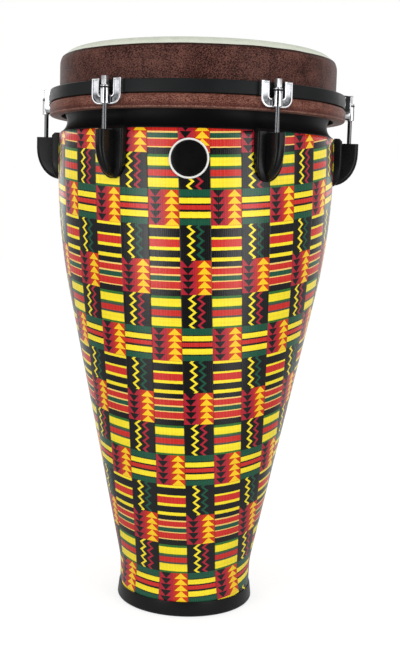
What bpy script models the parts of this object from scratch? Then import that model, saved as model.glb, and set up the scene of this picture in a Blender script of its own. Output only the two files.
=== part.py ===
"""A timbau: a tall conical hand drum with a cloth-wrapped shell, six tuning lugs and a rubber foot.

Units are metres and +Z is up. The drum stands on z = 0 round the Z axis, and its badge faces -Y.
An outline is a list of (distance from the axis, height) points, unless it says otherwise.
"""

import math

import bmesh
import bpy
from mathutils import Matrix

MM = 0.001

# Fits shared by all pieces
GAP = 0.3 * MM  # between faces that seat on each other
PLAY = 0.35 * MM  # round a rod or a screw in its hole
CUT_SPARE = 6 * MM  # how far a cutter runs past the face it cuts
WELD = 0.001 * MM  # corners nearer than this are one

# Stations of the tuning hardware, and the facets of round pieces
STATIONS = 6
DRUM_FACETS = 6 * STATIONS
HARDWARE_FACETS = 12
ROD_FACETS = 16  # puts a corner on each corner of the key's square
SCREW_FACETS = 6
CURVE_STEPS = 4
LUG_STEPS = 5
CORNER_STEPS = 2
SMOOTH_ANGLE = 35  # degrees, up to which an edge is shaded smooth

# Shell and cloth wrap
TOTAL_HEIGHT = 711 * MM
BELLY_RADIUS = 176.6 * MM  # widest, outside the cloth
BELLY_BELOW_WRAP_TOP = 37.5 * MM
BELLY_CURVE = 797 * MM  # radius of the belly's curve in the side view
CONE_FOOT_RADIUS = 75.9 * MM  # the cone carried down to the floor, outside the cloth
WALL = 6 * MM
WRAP_THICKNESS = 1 * MM
WRAP_TOP_BELOW_HEAD = 103.5 * MM
WRAP_IN_FOOT = 6 * MM
NECK_DEPTH = 10.4 * MM  # neck to belly
NECK_CURVE = 16 * MM
NECK_LEDGE = 1.5 * MM  # bare shell above the cloth's edge
SHELL_TOP_SETBACK = 3.6 * MM  # from the belly to the cylinder under the head
BEARING_EDGE_DEPTH = 32 * MM

# Head and hoops
HEAD_THICKNESS = 1 * MM
HEAD_SHOULDER = 19 * MM  # radius of the head's rounded edge
COLLAR_THICKNESS = 1.4 * MM
COLLAR_EDGE_ANGLE = 32  # degrees up the shoulder where the collar ends
COLLAR_FLARE = 5 * MM
BAND_HEIGHT = 16.1 * MM  # the collar's turned lower edge
BAND_STANDOFF = 12.3 * MM
BAND_CORNER = 3 * MM
TUCK_HEIGHT = 10 * MM
HOOP_BELOW_HEAD = 51 * MM
HOOP_HEIGHT = 14.3 * MM
HOOP_THICKNESS = 6.5 * MM
HOOP_EDGE = 1.2 * MM

# Claws
CLAW_WIDTH = 41 * MM
CLAW_HEIGHT = 31 * MM
CLAW_ARM = 10.5 * MM
CLAW_DEPTH = 5.6 * MM
CLAW_CORNER = 11 * MM
CLAW_WEB = 10.5 * MM
CLAW_EDGE = 0.9 * MM
CLAW_RIM = 2 * MM  # raised edge round the claw's front
CLAW_RELIEF = 1.5 * MM  # how far the front is sunk inside its rim
RELIEF_DRAFT = 0.5 * MM
HOOK_THICKNESS = 3 * MM
HOOK_OVERHANG = 6 * MM
HOOK_SLOPE = 1.5 * MM  # how far the hook's top falls to the front
BOSS_RADIUS = 5.4 * MM
BOSS_BELOW_CLAW_TOP = 12.6 * MM
BOSS_LIFT = 0.8 * MM  # the boss's end above the claw's

# Tension rods and their washers
ROD_RADIUS = 2.75 * MM
ROD_POINT = 1 * MM
ROD_IN_LUG = 22 * MM
FLANGE_HEIGHT = 1.5 * MM
KEY_SQUARE = 6.35 * MM
KEY_HEIGHT = 10.5 * MM
KEY_CHAMFER = 0.7 * MM
WASHER_RADIUS = 5.4 * MM
WASHER_THICKNESS = 1 * MM
WASHER_RIM = 0.3 * MM  # the washer's edge outside the flange
WASHER_STANDOFF = 1.8 * MM  # from the collar's band

# Lugs, their inserts and screws
LUG_ABOVE_WRAP_TOP = 2 * MM
LUG_HEIGHT = 60 * MM
LUG_POINT = 26 * MM  # height of the half ellipse that ends the lug's front view
LUG_TIP = 1 * MM  # what is missing of that ellipse's end
LUG_SINK = 6 * MM  # what the shell's curve trims off the lug's back
BASE_WIDTH = 35 * MM
BASE_DEPTH = 9 * MM
BASE_SLOPE = 3.5 * MM
BASE_FOOT = 30 * MM  # height of the curve at the base's lower end
BASE_EDGE = 2.5 * MM
NOSE_WIDTH = 13 * MM
NOSE_BELOW_BASE = 5.5 * MM
NOSE_ABOVE_BASE_END = 1.2 * MM
NOSE_FRONT = 12 * MM  # the rod's axis to the front of the nose
NOSE_FACE_HEIGHT = 13 * MM  # straight stretch above the nose's curve
NOSE_EDGE = 5 * MM
INSERT_RADIUS = 4.4 * MM
INSERT_LENGTH = 26 * MM
INSERT_RECESS = 0.5 * MM
INSERT_HOLE_SPARE = 3 * MM
SCREW_RADIUS = 1.75 * MM
SCREW_LENGTH = 18 * MM
SCREW_HEAD_RADIUS = 3.6 * MM
SCREW_HEAD_HEIGHT = 2.6 * MM
SCREW_FROM_LUG_END = 14 * MM
SCREW_HOLE_SPARE = 0.5 * MM

# Foot ring
FOOT_HEIGHT = 19.5 * MM
FOOT_STANDOFF = 13.7 * MM  # the ring's outside from the cone's foot
FOOT_LEAN = 1.8 * MM
FOOT_CORNER = 4 * MM
FOOT_FLOOR = 6 * MM
FOOT_LIP_HEIGHT = 17 * MM
FOOT_LIP_THICKNESS = 4 * MM

# Badge
BADGE_RADIUS = 23 * MM
BADGE_BELOW_WRAP_TOP = 34.1 * MM
BADGE_RIM_WIDTH = 2.4 * MM
BADGE_RIM_THICKNESS = 2.2 * MM
BADGE_PLATE_THICKNESS = 1.6 * MM
BADGE_FACETS = 20

# Heights that follow
WRAP_TOP = TOTAL_HEIGHT - WRAP_TOP_BELOW_HEAD
WRAP_BOTTOM = FOOT_HEIGHT - WRAP_IN_FOOT
BELLY_Z = WRAP_TOP - BELLY_BELOW_WRAP_TOP
SHELL_BOTTOM = FOOT_FLOOR + GAP
SHOULDER_Z = TOTAL_HEIGHT - HEAD_SHOULDER
HOOP_TOP = TOTAL_HEIGHT - HOOP_BELOW_HEAD
HOOP_BOTTOM = HOOP_TOP - HOOP_HEIGHT
BAND_TOP = HOOP_BOTTOM - GAP
BAND_BOTTOM = BAND_TOP - BAND_HEIGHT
FLARE_Z = BAND_TOP + COLLAR_FLARE
CLAW_TOP = HOOP_TOP + GAP + HOOK_THICKNESS
CLAW_BOTTOM = CLAW_TOP - CLAW_HEIGHT
BOSS_TOP = CLAW_TOP - BOSS_BELOW_CLAW_TOP
WASHER_BOTTOM = BOSS_TOP + GAP
WASHER_TOP = WASHER_BOTTOM + WASHER_THICKNESS
FLANGE_BOTTOM = WASHER_TOP + GAP
FLANGE_TOP = FLANGE_BOTTOM + FLANGE_HEIGHT
KEY_TOP = FLANGE_TOP + KEY_HEIGHT
LUG_TOP = WRAP_TOP + LUG_ABOVE_WRAP_TOP
LUG_BOTTOM = LUG_TOP - LUG_HEIGHT
NOSE_TOP = LUG_TOP - NOSE_BELOW_BASE
NOSE_BOTTOM = LUG_BOTTOM + NOSE_ABOVE_BASE_END
INSERT_TOP = NOSE_TOP - INSERT_RECESS
INSERT_BOTTOM = INSERT_TOP - INSERT_LENGTH
ROD_BOTTOM = NOSE_TOP - ROD_IN_LUG
BADGE_Z = WRAP_TOP - BADGE_BELOW_WRAP_TOP

# Radii that follow
SHELL_INSET = WRAP_THICKNESS + GAP  # from the cloth's outside to the shell's
BORE_INSET = SHELL_INSET + WALL
NECK_RADIUS = BELLY_RADIUS - NECK_DEPTH
SHELL_TOP_RADIUS = BELLY_RADIUS - SHELL_TOP_SETBACK
HEAD_INNER = SHELL_TOP_RADIUS + GAP
HEAD_OUTER = HEAD_INNER + HEAD_THICKNESS
COLLAR_INNER = HEAD_OUTER + GAP
COLLAR_OUTER = COLLAR_INNER + COLLAR_THICKNESS
SHOULDER = (HEAD_OUTER - HEAD_SHOULDER, SHOULDER_Z)  # centre of the shoulder's curves
BAND_OUTER = COLLAR_OUTER + BAND_STANDOFF
HOOP_OUTER = BAND_OUTER - GAP
HOOP_INNER = HOOP_OUTER - HOOP_THICKNESS
CLAW_INNER = BAND_OUTER + GAP
CLAW_FRONT = CLAW_INNER + CLAW_DEPTH
HOOK_REACH = HOOP_OUTER - HOOK_OVERHANG
ROD_CIRCLE = BAND_OUTER + WASHER_STANDOFF + WASHER_RADIUS
FLANGE_RADIUS = WASHER_RADIUS - WASHER_RIM
ROD_HOLE = ROD_RADIUS + PLAY
NOSE_RADIUS = ROD_CIRCLE + NOSE_FRONT
BASE_RADIUS = BELLY_RADIUS + BASE_DEPTH
LUG_BACK = BELLY_RADIUS - LUG_SINK
SCREW_HOLE = SCREW_RADIUS + PLAY
FOOT_RADIUS = CONE_FOOT_RADIUS + FOOT_STANDOFF

STATION_ANGLES = [math.tau * (number + 0.5) / STATIONS for number in range(STATIONS)]
SCREW_HEIGHTS = {
    "upper": LUG_TOP - SCREW_FROM_LUG_END,
    "lower": LUG_BOTTOM + SCREW_FROM_LUG_END,
}


# Outlines
def arc(centre, radius, start, end, steps=CORNER_STEPS):
    """Points on a circle from one angle to another, in degrees, where 0 is outwards and 90 is up."""
    turns = [math.radians(start + (end - start) * step / steps) for step in range(steps + 1)]
    return [(centre[0] + radius * math.cos(turn), centre[1] + radius * math.sin(turn)) for turn in turns]


def cone_lean():
    """Angle of the straight cone, which starts at its foot and runs into the belly's curve."""
    across = BELLY_RADIUS - BELLY_CURVE - CONE_FOOT_RADIUS
    to_centre = math.atan2(BELLY_Z, across)
    return math.pi / 2 - to_centre + math.asin(BELLY_CURVE / math.hypot(across, BELLY_Z))


def cone_end(inset):
    """Height at which the cone runs into the belly's curve."""
    return BELLY_Z - (BELLY_CURVE - inset) * math.sin(cone_lean())


def body_radius(height, inset):
    """Radius of the body at a height, with its surface set in from the cloth's outside."""
    if height < cone_end(inset):
        return CONE_FOOT_RADIUS + height * math.tan(cone_lean()) - inset / math.cos(cone_lean())
    curve = BELLY_CURVE - inset
    return BELLY_RADIUS - BELLY_CURVE + math.sqrt(curve**2 - (height - BELLY_Z) ** 2)


def body_side(inset, bottom, top):
    """The body's side from bottom to top: the straight cone, then steps up the belly's curve."""
    start = max(bottom, cone_end(inset))
    heights = [start + (top - start) * step / CURVE_STEPS for step in range(CURVE_STEPS + 1)]
    if start > bottom:
        heights.insert(0, bottom)
    return [(body_radius(height, inset), height) for height in heights]


def neck_side(inset, below, above, steps=CURVE_STEPS):
    """The hollow curve of the neck, from the radius below it to the radius above it."""
    curve = NECK_CURVE + inset
    middle = NECK_RADIUS + NECK_CURVE
    low = math.degrees(math.acos((middle - below) / curve))
    high = math.degrees(math.acos((middle - above) / curve))
    return arc((middle, neck_height()), curve, 180 + low, 180 - high, steps)


def neck_height():
    """Height of the narrowest point, where the curve leaves a ledge above the cloth's edge."""
    drop = body_radius(WRAP_TOP, SHELL_INSET) - NECK_RADIUS
    return WRAP_TOP + NECK_LEDGE + math.sqrt(NECK_CURVE**2 - (NECK_CURVE - drop) ** 2)


def lug_side(top, reach, bottom, curve_height):
    """Side view of a lug: flat on top, upright in front, then a quarter ellipse in to the shell."""
    turns = [math.pi / 2 * step / LUG_STEPS for step in range(LUG_STEPS + 1)]
    depth = reach - BELLY_RADIUS
    curve = [
        (BELLY_RADIUS + depth * math.cos(turn), bottom + curve_height * (1 - math.sin(turn)))
        for turn in turns
    ]
    return [(LUG_BACK, top), (reach, top), *curve, (LUG_BACK, bottom)]


# Meshes and objects
def turned(outline, facets=DRUM_FACETS, closed=True):
    """An outline turned about Z. One that isn't closed starts and ends on the axis."""
    shape = bmesh.new()
    corners = [shape.verts.new((radius, 0, height)) for radius, height in outline]
    ends = corners[1:] + corners[:1] if closed else corners[1:]
    edges = [shape.edges.new(pair) for pair in zip(corners, ends)]
    bmesh.ops.spin(
        shape,
        geom=corners + edges,
        cent=(0, 0, 0),
        axis=(0, 0, 1),
        angle=math.tau,
        steps=facets,
        use_merge=True,
    )
    bmesh.ops.remove_doubles(shape, verts=shape.verts, dist=WELD)
    bmesh.ops.recalc_face_normals(shape, faces=shape.faces)
    return shape


def cylinder(radius, start, end, facets=HARDWARE_FACETS):
    """A cylinder on the Z axis."""
    return turned([(0, end), (radius, end), (radius, start), (0, start)], facets, closed=False)


def tube(outer, inner, start, end, facets=HARDWARE_FACETS):
    """A tube on the Z axis."""
    return turned([(outer, end), (outer, start), (inner, start), (inner, end)], facets)


def slab(corners, travel):
    """A flat face through corners in space, extruded along travel."""
    shape = bmesh.new()
    face = shape.faces.new([shape.verts.new(corner) for corner in corners])
    grown = bmesh.ops.extrude_face_region(shape, geom=[face])["geom"]
    moved = [item for item in grown if isinstance(item, bmesh.types.BMVert)]
    bmesh.ops.translate(shape, verts=moved, vec=travel)
    bmesh.ops.recalc_face_normals(shape, faces=shape.faces)
    return shape


def round_edges(shape, edges, width, segments):
    bmesh.ops.bevel(
        shape,
        geom=edges,
        offset=width,
        offset_type="OFFSET",
        affect="EDGES",
        segments=segments,
        profile=0.5,
        material=-1,
    )


def moved(shape, matrix):
    bmesh.ops.transform(shape, matrix=matrix, verts=shape.verts)
    return shape


def outwards(shape, height, angle=0.0):
    """A shape made up the Z axis, laid to point out of the drum at a height and an angle from the front."""
    lay = Matrix.Rotation(math.pi / 2, 4, "X")
    return moved(shape, Matrix.Rotation(angle, 4, "Z") @ Matrix.Translation((0, 0, height)) @ lay)


def mesh_of(name, shapes):
    """One mesh of several shapes, which may lie apart."""
    mesh = bpy.data.meshes.new(name)
    whole = bmesh.new()
    for shape in shapes:
        shape.to_mesh(mesh)
        shape.free()
        whole.from_mesh(mesh)
    whole.to_mesh(mesh)
    whole.free()
    return mesh


def add(name, mesh, material=None, parent=None, location=(0, 0, 0), rotation=(0, 0, 0)):
    """An object in the scene, shaded smooth over its shallow edges."""
    mesh.shade_smooth()
    mesh.set_sharp_from_angle(angle=math.radians(SMOOTH_ANGLE))
    if material:
        mesh.materials.clear()
        mesh.materials.append(material)
    item = bpy.data.objects.new(name, mesh)
    item.parent = parent
    item.location = location
    item.rotation_euler = rotation
    bpy.context.scene.collection.objects.link(item)
    return item


def tool(name, *shapes):
    """A cutter, or a block that is joined to a piece: drawn as wire and left out of renders."""
    item = add(name, mesh_of(name, shapes))
    item.hide_render = True
    item.display_type = "WIRE"
    return item


def combine(item, operation, *others):
    for other in others:
        step = item.modifiers.new(other.name, "BOOLEAN")
        step.operation = operation
        step.solver = "EXACT"
        step.object = other


def settled(item):
    """The mesh that a piece's modifiers make. The piece and its tools then leave the scene."""
    used = [step.object for step in item.modifiers]
    bpy.context.view_layer.update()
    graph = bpy.context.evaluated_depsgraph_get()
    mesh = bpy.data.meshes.new_from_object(item.evaluated_get(graph))
    for gone in [item, *used]:
        bpy.data.objects.remove(gone)
    return mesh


def finish(name, colour, roughness, metallic=0.0):
    material = bpy.data.materials.new(name)
    material.use_nodes = True
    shader = material.node_tree.nodes["Principled BSDF"]
    shader.inputs["Base Color"].default_value = (*colour, 1.0)
    shader.inputs["Roughness"].default_value = roughness
    shader.inputs["Metallic"].default_value = metallic
    return material


# Shell: the moulded body, with a hollow neck and a bearing edge rolled in under the head
def shell():
    top_wall = SHELL_TOP_RADIUS - WALL
    edge_round = SHELL_TOP_RADIUS - SHOULDER[0]
    outside = [
        *body_side(SHELL_INSET, SHELL_BOTTOM, WRAP_TOP),
        *neck_side(0, body_radius(WRAP_TOP, SHELL_INSET), SHELL_TOP_RADIUS),
        *arc(SHOULDER, edge_round, 0, 90, CURVE_STEPS),
    ]
    inner_neck = neck_side(WALL, body_radius(WRAP_TOP, BORE_INSET), top_wall, CORNER_STEPS)
    inside = [
        *body_side(BORE_INSET, SHELL_BOTTOM, inner_neck[0][1]),
        *inner_neck[1:],
        (top_wall, TOTAL_HEIGHT - BEARING_EDGE_DEPTH),
        SHOULDER,
    ]
    item = add(
        "shell",
        mesh_of("shell", [turned(outside + inside[::-1])]),
        finish("moulded_black", (0.012, 0.012, 0.013), 0.25),
    )
    combine(item, "DIFFERENCE", screw_holes("shell_screw_holes"))


def screw_holes(name):
    """Holes through the wall for every lug's screws."""
    start = body_radius(LUG_BOTTOM, BORE_INSET) - CUT_SPARE
    end = BELLY_RADIUS + CUT_SPARE
    return tool(
        name,
        *[
            outwards(cylinder(SCREW_HOLE, start, end, SCREW_FACETS), height, angle)
            for height in SCREW_HEIGHTS.values()
            for angle in STATION_ANGLES
        ],
    )


# Cloth wrap: a laminated sleeve of printed cloth from inside the foot ring up to the neck's ledge
def cloth_wrap():
    outside = body_side(0, WRAP_BOTTOM, WRAP_TOP)
    inside = body_side(WRAP_THICKNESS, WRAP_BOTTOM, WRAP_TOP)
    item = add(
        "cloth_wrap",
        mesh_of("cloth_wrap", [turned(outside + inside[::-1])]),
        finish("printed_cloth", (0.45, 0.12, 0.04), 0.35),
    )
    combine(item, "DIFFERENCE", screw_holes("wrap_screw_holes"))


# Foot ring: rubber, with a groove that clasps the shell's lower edge
def foot_ring():
    groove_out = [(body_radius(height, -GAP), height) for height in (FOOT_HEIGHT, FOOT_FLOOR)]
    groove_in = [(body_radius(height, BORE_INSET + GAP), height) for height in (FOOT_FLOOR, FOOT_LIP_HEIGHT)]
    lip = [
        (groove_in[1][0] - FOOT_LIP_THICKNESS, FOOT_LIP_HEIGHT),
        (groove_in[0][0] - FOOT_LIP_THICKNESS, 0),
    ]
    low = (FOOT_RADIUS - FOOT_CORNER, FOOT_CORNER)
    high = (FOOT_RADIUS - FOOT_LEAN - FOOT_CORNER, FOOT_HEIGHT - FOOT_CORNER)
    outside = arc(low, FOOT_CORNER, -90, 0) + arc(high, FOOT_CORNER, 0, 90)
    add(
        "foot_ring",
        mesh_of("foot_ring", [turned(outside + groove_out + groove_in + lip)]),
        finish("black_rubber", (0.015, 0.015, 0.016), 0.7),
    )


# Drum head: a film drawn over the bearing edge, with a skirt down inside the collar
def drum_head():
    skirt = FLARE_Z + GAP
    outline = [
        (0, TOTAL_HEIGHT),
        *arc(SHOULDER, HEAD_SHOULDER, 90, 0, CURVE_STEPS),
        (HEAD_OUTER, skirt),
        (HEAD_INNER, skirt),
        *arc(SHOULDER, HEAD_SHOULDER - HEAD_THICKNESS, 0, 90, CURVE_STEPS),
        (0, TOTAL_HEIGHT - HEAD_THICKNESS),
    ]
    add(
        "drum_head",
        mesh_of("drum_head", [turned(outline, closed=False)]),
        finish("pale_head", (0.66, 0.66, 0.58), 0.55),
    )


# Head collar: the brown sleeve over the film, turned out over the flesh hoop, round it and up inside
def head_collar():
    thick = COLLAR_THICKNESS
    flare = (COLLAR_OUTER + COLLAR_FLARE, FLARE_Z)
    upper = (BAND_OUTER - BAND_CORNER, BAND_TOP - BAND_CORNER)
    lower = (BAND_OUTER - BAND_CORNER, BAND_BOTTOM + BAND_CORNER)
    tuck_top = BAND_BOTTOM + TUCK_HEIGHT
    outline = [
        *arc(SHOULDER, COLLAR_OUTER - SHOULDER[0], COLLAR_EDGE_ANGLE, 0),
        *arc(flare, COLLAR_FLARE, 180, 270),
        *arc(upper, BAND_CORNER, 90, 0),
        *arc(lower, BAND_CORNER, 0, -90),
        (COLLAR_OUTER, BAND_BOTTOM),
        (COLLAR_OUTER, tuck_top),
        (COLLAR_OUTER + thick, tuck_top),
        (COLLAR_OUTER + thick, BAND_BOTTOM + thick),
        *arc(lower, BAND_CORNER - thick, -90, 0),
        *arc(upper, BAND_CORNER - thick, 0, 90),
        *arc(flare, COLLAR_FLARE + thick, 270, 180),
        *arc(SHOULDER, COLLAR_INNER - SHOULDER[0], 0, COLLAR_EDGE_ANGLE),
    ]
    add(
        "head_collar",
        mesh_of("head_collar", [turned(outline)]),
        finish("brown_collar", (0.085, 0.045, 0.038), 0.6),
    )


# Flesh hoop: the aluminium ring that the collar is turned round
def flesh_hoop():
    spare = COLLAR_THICKNESS + GAP
    inner = COLLAR_OUTER + spare
    corner = BAND_CORNER - spare
    outer = BAND_OUTER - BAND_CORNER
    outline = [
        (inner, BAND_TOP - spare),
        *arc((outer, BAND_TOP - BAND_CORNER), corner, 90, 0, 1),
        *arc((outer, BAND_BOTTOM + BAND_CORNER), corner, 0, -90, 1),
        (inner, BAND_BOTTOM + spare),
    ]
    add(
        "flesh_hoop",
        mesh_of("flesh_hoop", [turned(outline)]),
        finish("bare_aluminium", (0.6, 0.6, 0.6), 0.35, 1.0),
    )


# Counter hoop: a flat steel band that bears on the turned edge of the head
def counter_hoop():
    outline = [
        (HOOP_INNER + HOOP_EDGE, HOOP_TOP),
        (HOOP_OUTER - HOOP_EDGE, HOOP_TOP),
        (HOOP_OUTER, HOOP_TOP - HOOP_EDGE),
        (HOOP_OUTER, HOOP_BOTTOM),
        (HOOP_INNER, HOOP_BOTTOM),
        (HOOP_INNER, HOOP_TOP - HOOP_EDGE),
    ]
    add(
        "counter_hoop",
        mesh_of("counter_hoop", [turned(outline)]),
        finish("powder_black", (0.022, 0.022, 0.024), 0.42),
    )


# Claw: a U with two arms that hook over the hoop, and a boss between them for the rod
def claw_mesh():
    half = CLAW_WIDTH / 2
    slot = half - CLAW_ARM
    floor = CLAW_BOTTOM + CLAW_WEB
    corner_height = CLAW_BOTTOM + CLAW_CORNER
    front_view = [
        (-half, CLAW_TOP),
        *arc((CLAW_CORNER - half, corner_height), CLAW_CORNER, 180, 270),
        *arc((half - CLAW_CORNER, corner_height), CLAW_CORNER, 270, 360),
        (half, CLAW_TOP),
        (slot, CLAW_TOP),
        (slot, floor),
        (-slot, floor),
        (-slot, CLAW_TOP),
    ]
    front = [(across, -CLAW_FRONT, height) for across, height in front_view]
    shape = slab(front, (0, CLAW_FRONT - HOOK_REACH, 0))
    for corner in shape.verts:
        if corner.co.z > CLAW_TOP - GAP and corner.co.y < -CLAW_INNER:
            corner.co.z -= HOOK_SLOPE
    face = max(shape.faces, key=lambda side: -side.calc_center_median().y)
    outer_edges = list(face.edges)
    bmesh.ops.inset_region(shape, faces=[face], thickness=CLAW_RIM, use_even_offset=True)
    bmesh.ops.inset_region(
        shape, faces=[face], thickness=RELIEF_DRAFT, depth=-CLAW_RELIEF, use_even_offset=True
    )
    round_edges(shape, outer_edges, CLAW_EDGE, 1)
    item = add("claw", mesh_of("claw", [shape]))
    on_axis = Matrix.Translation((0, -ROD_CIRCLE, 0))
    boss = cylinder(BOSS_RADIUS, CLAW_BOTTOM + BOSS_LIFT, BOSS_TOP)
    combine(item, "UNION", tool("claw_boss", moved(boss, on_axis)))
    hoop_room = cylinder(CLAW_INNER, CLAW_BOTTOM - CUT_SPARE, HOOP_TOP + GAP, DRUM_FACETS)
    rod_room = cylinder(ROD_HOLE, CLAW_BOTTOM - CUT_SPARE, BOSS_TOP + CUT_SPARE)
    combine(
        item,
        "DIFFERENCE",
        tool("claw_hoop_room", hoop_room),
        tool("claw_rod_room", moved(rod_room, on_axis)),
    )
    return settled(item)


# Tension rod: a pointed shank, a flange that bears on the washer, and a square head for the key
def rod_mesh():
    half = KEY_SQUARE / 2
    shape = turned(
        [
            (0, KEY_TOP),
            (half - KEY_CHAMFER, KEY_TOP),
            (half, KEY_TOP - KEY_CHAMFER),
            (half, FLANGE_TOP),
            (FLANGE_RADIUS, FLANGE_TOP),
            (FLANGE_RADIUS, FLANGE_BOTTOM),
            (ROD_RADIUS, FLANGE_BOTTOM),
            (ROD_RADIUS, ROD_BOTTOM + ROD_POINT),
            (ROD_RADIUS - ROD_POINT, ROD_BOTTOM),
            (0, ROD_BOTTOM),
        ],
        ROD_FACETS,
        closed=False,
    )
    for corner in shape.verts:
        across = math.hypot(corner.co.x, corner.co.y)
        if corner.co.z > FLANGE_BOTTOM + FLANGE_HEIGHT / 2 and 0 < across < FLANGE_RADIUS - GAP:
            square = across / max(abs(corner.co.x), abs(corner.co.y))
            corner.co.x *= square
            corner.co.y *= square
    return mesh_of("tension_rod", [shape])


# Lug: a base that hugs the shell and a nose that takes the rod, cast in one
def lug_mesh():
    nose_curve = NOSE_TOP - NOSE_FACE_HEIGHT - NOSE_BOTTOM
    nose = lug_block(lug_side(NOSE_TOP, NOSE_RADIUS, NOSE_BOTTOM, nose_curve), NOSE_WIDTH, NOSE_EDGE, 2)
    base_outline = lug_side(LUG_TOP, BASE_RADIUS, LUG_BOTTOM, BASE_FOOT)
    base_outline[1:2] = [(BASE_RADIUS - BASE_SLOPE, LUG_TOP), (BASE_RADIUS, LUG_TOP - BASE_SLOPE)]
    item = add("lug", mesh_of("lug", [lug_block(base_outline, BASE_WIDTH, BASE_EDGE, 1)]))
    combine(item, "UNION", tool("lug_nose", nose))
    low = LUG_BOTTOM - CUT_SPARE
    high = LUG_TOP + CUT_SPARE
    core = LUG_BACK - CUT_SPARE
    trim = turned([*body_side(-GAP, low, high), (core, high), (core, low)])
    insert_room = cylinder(INSERT_RADIUS + GAP, INSERT_BOTTOM - INSERT_HOLE_SPARE, high)
    screw_end = max(screw_seat(height) for height in SCREW_HEIGHTS.values()) + SCREW_LENGTH
    screw_rooms = [
        outwards(cylinder(SCREW_HOLE, LUG_BACK, screw_end + SCREW_HOLE_SPARE, SCREW_FACETS), height)
        for height in SCREW_HEIGHTS.values()
    ]
    combine(
        item,
        "DIFFERENCE",
        tool("lug_seat", trim),
        tool("lug_insert_room", moved(insert_room, Matrix.Translation((0, -ROD_CIRCLE, 0)))),
        tool("lug_screw_rooms", *screw_rooms),
    )
    return settled(item)


def lug_block(side_view, width, edge, segments):
    """A side view given its width, rounded along both flanks in front and drawn in to the lower end."""
    flank = [(width / 2, -reach, height) for reach, height in side_view]
    shape = slab(flank, (-width, 0, 0))
    flank_edges = [
        link
        for link in shape.edges
        if abs(link.verts[0].co.x - link.verts[1].co.x) < width / 2
        and max(vertex.co.y for vertex in link.verts) < -LUG_BACK - LUG_SINK / 2
    ]
    round_edges(shape, flank_edges, edge, segments)
    for corner in shape.verts:
        corner.co.x *= lug_share(corner.co.z)
    return shape


def lug_share(height):
    """Share of its full width that a lug keeps at a height: all of it, then half an ellipse."""
    up = min((height - LUG_BOTTOM + LUG_TIP) / LUG_POINT, 1)
    return math.sqrt(1 - (1 - up) ** 2)


def screw_seat(height):
    """Distance from the axis at which a screw head bears on the bore's flat facets."""
    ends = (height - SCREW_HEAD_RADIUS, height + SCREW_HEAD_RADIUS)
    return min(body_radius(end, BORE_INSET) for end in ends) * math.cos(math.pi / DRUM_FACETS) - GAP


def screw_mesh(height):
    seat = screw_seat(height)
    outline = [
        (0, seat + SCREW_LENGTH),
        (SCREW_RADIUS, seat + SCREW_LENGTH),
        (SCREW_RADIUS, seat),
        (SCREW_HEAD_RADIUS, seat),
        (SCREW_HEAD_RADIUS, seat - SCREW_HEAD_HEIGHT),
        (0, seat - SCREW_HEAD_HEIGHT),
    ]
    return mesh_of("lug_screw", [turned(outline, SCREW_FACETS, closed=False)])


# Tuning hardware: one set for each station
def tuning_hardware():
    chrome = finish("chrome", (0.75, 0.75, 0.76), 0.12, 1.0)
    steel = finish("zinc_steel", (0.55, 0.55, 0.56), 0.3, 1.0)
    cast_black = finish("cast_black", (0.02, 0.02, 0.021), 0.45)
    brass = finish("brass", (0.55, 0.4, 0.15), 0.35, 1.0)
    nylon = finish("black_nylon", (0.01, 0.01, 0.01), 0.5)
    claw = claw_mesh()
    rod = rod_mesh()
    washer = mesh_of("rod_washer", [tube(WASHER_RADIUS, ROD_HOLE, WASHER_BOTTOM, WASHER_TOP)])
    lug = lug_mesh()
    insert = mesh_of("lug_insert", [tube(INSERT_RADIUS, ROD_HOLE, INSERT_BOTTOM, INSERT_TOP)])
    screws = {end: screw_mesh(height) for end, height in SCREW_HEIGHTS.items()}
    rod_axis = (0, -ROD_CIRCLE, 0)
    for number, angle in enumerate(STATION_ANGLES, start=1):
        station = bpy.data.objects.new(f"station_{number}", None)
        station.rotation_euler.z = angle
        bpy.context.scene.collection.objects.link(station)
        add(f"claw_{number}", claw, chrome, station)
        add(f"tension_rod_{number}", rod, steel, station, rod_axis)
        add(f"rod_washer_{number}", washer, nylon, station, rod_axis)
        add(f"lug_{number}", lug, cast_black, station)
        add(f"lug_insert_{number}", insert, brass, station, rod_axis)
        for end, height in SCREW_HEIGHTS.items():
            name = f"lug_screw_{number}_{end}"
            add(name, screws[end], steel, station, (0, 0, height), (math.pi / 2, 0, 0))


# Badge: a thin round plate in a raised rim, both curved to lie on the wrap
def badge():
    white = finish("white_rim", (0.7, 0.7, 0.68), 0.35)
    black = finish("badge_black", (0.015, 0.015, 0.016), 0.3)
    opening = BADGE_RADIUS - BADGE_RIM_WIDTH
    rim = badge_layer("badge_rim", BADGE_RIM_THICKNESS, white)
    combine(rim, "INTERSECT", badge_disc("badge_outside", BADGE_RADIUS))
    combine(rim, "DIFFERENCE", badge_disc("badge_opening", opening))
    plate = badge_layer("badge_plate", BADGE_PLATE_THICKNESS, black)
    combine(plate, "INTERSECT", badge_disc("badge_inside", opening - GAP))


def badge_layer(name, thickness, material):
    """A hoop that lies on the wrap, out of which the badge's round pieces are cut."""
    low = BADGE_Z - BADGE_RADIUS - CUT_SPARE
    high = BADGE_Z + BADGE_RADIUS + CUT_SPARE
    inside = body_side(-GAP, low, high)
    outside = body_side(-GAP - thickness, low, high)
    return add(name, mesh_of(name, [turned(outside + inside[::-1])]), material)


def badge_disc(name, radius):
    start = BELLY_RADIUS - NECK_DEPTH
    end = BELLY_RADIUS + BADGE_RIM_THICKNESS + CUT_SPARE
    return tool(name, outwards(cylinder(radius, start, end, BADGE_FACETS), BADGE_Z))


def build():
    for item in list(bpy.data.objects):
        bpy.data.objects.remove(item)
    shell()
    cloth_wrap()
    foot_ring()
    drum_head()
    head_collar()
    flesh_hoop()
    counter_hoop()
    tuning_hardware()
    badge()


build()
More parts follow.
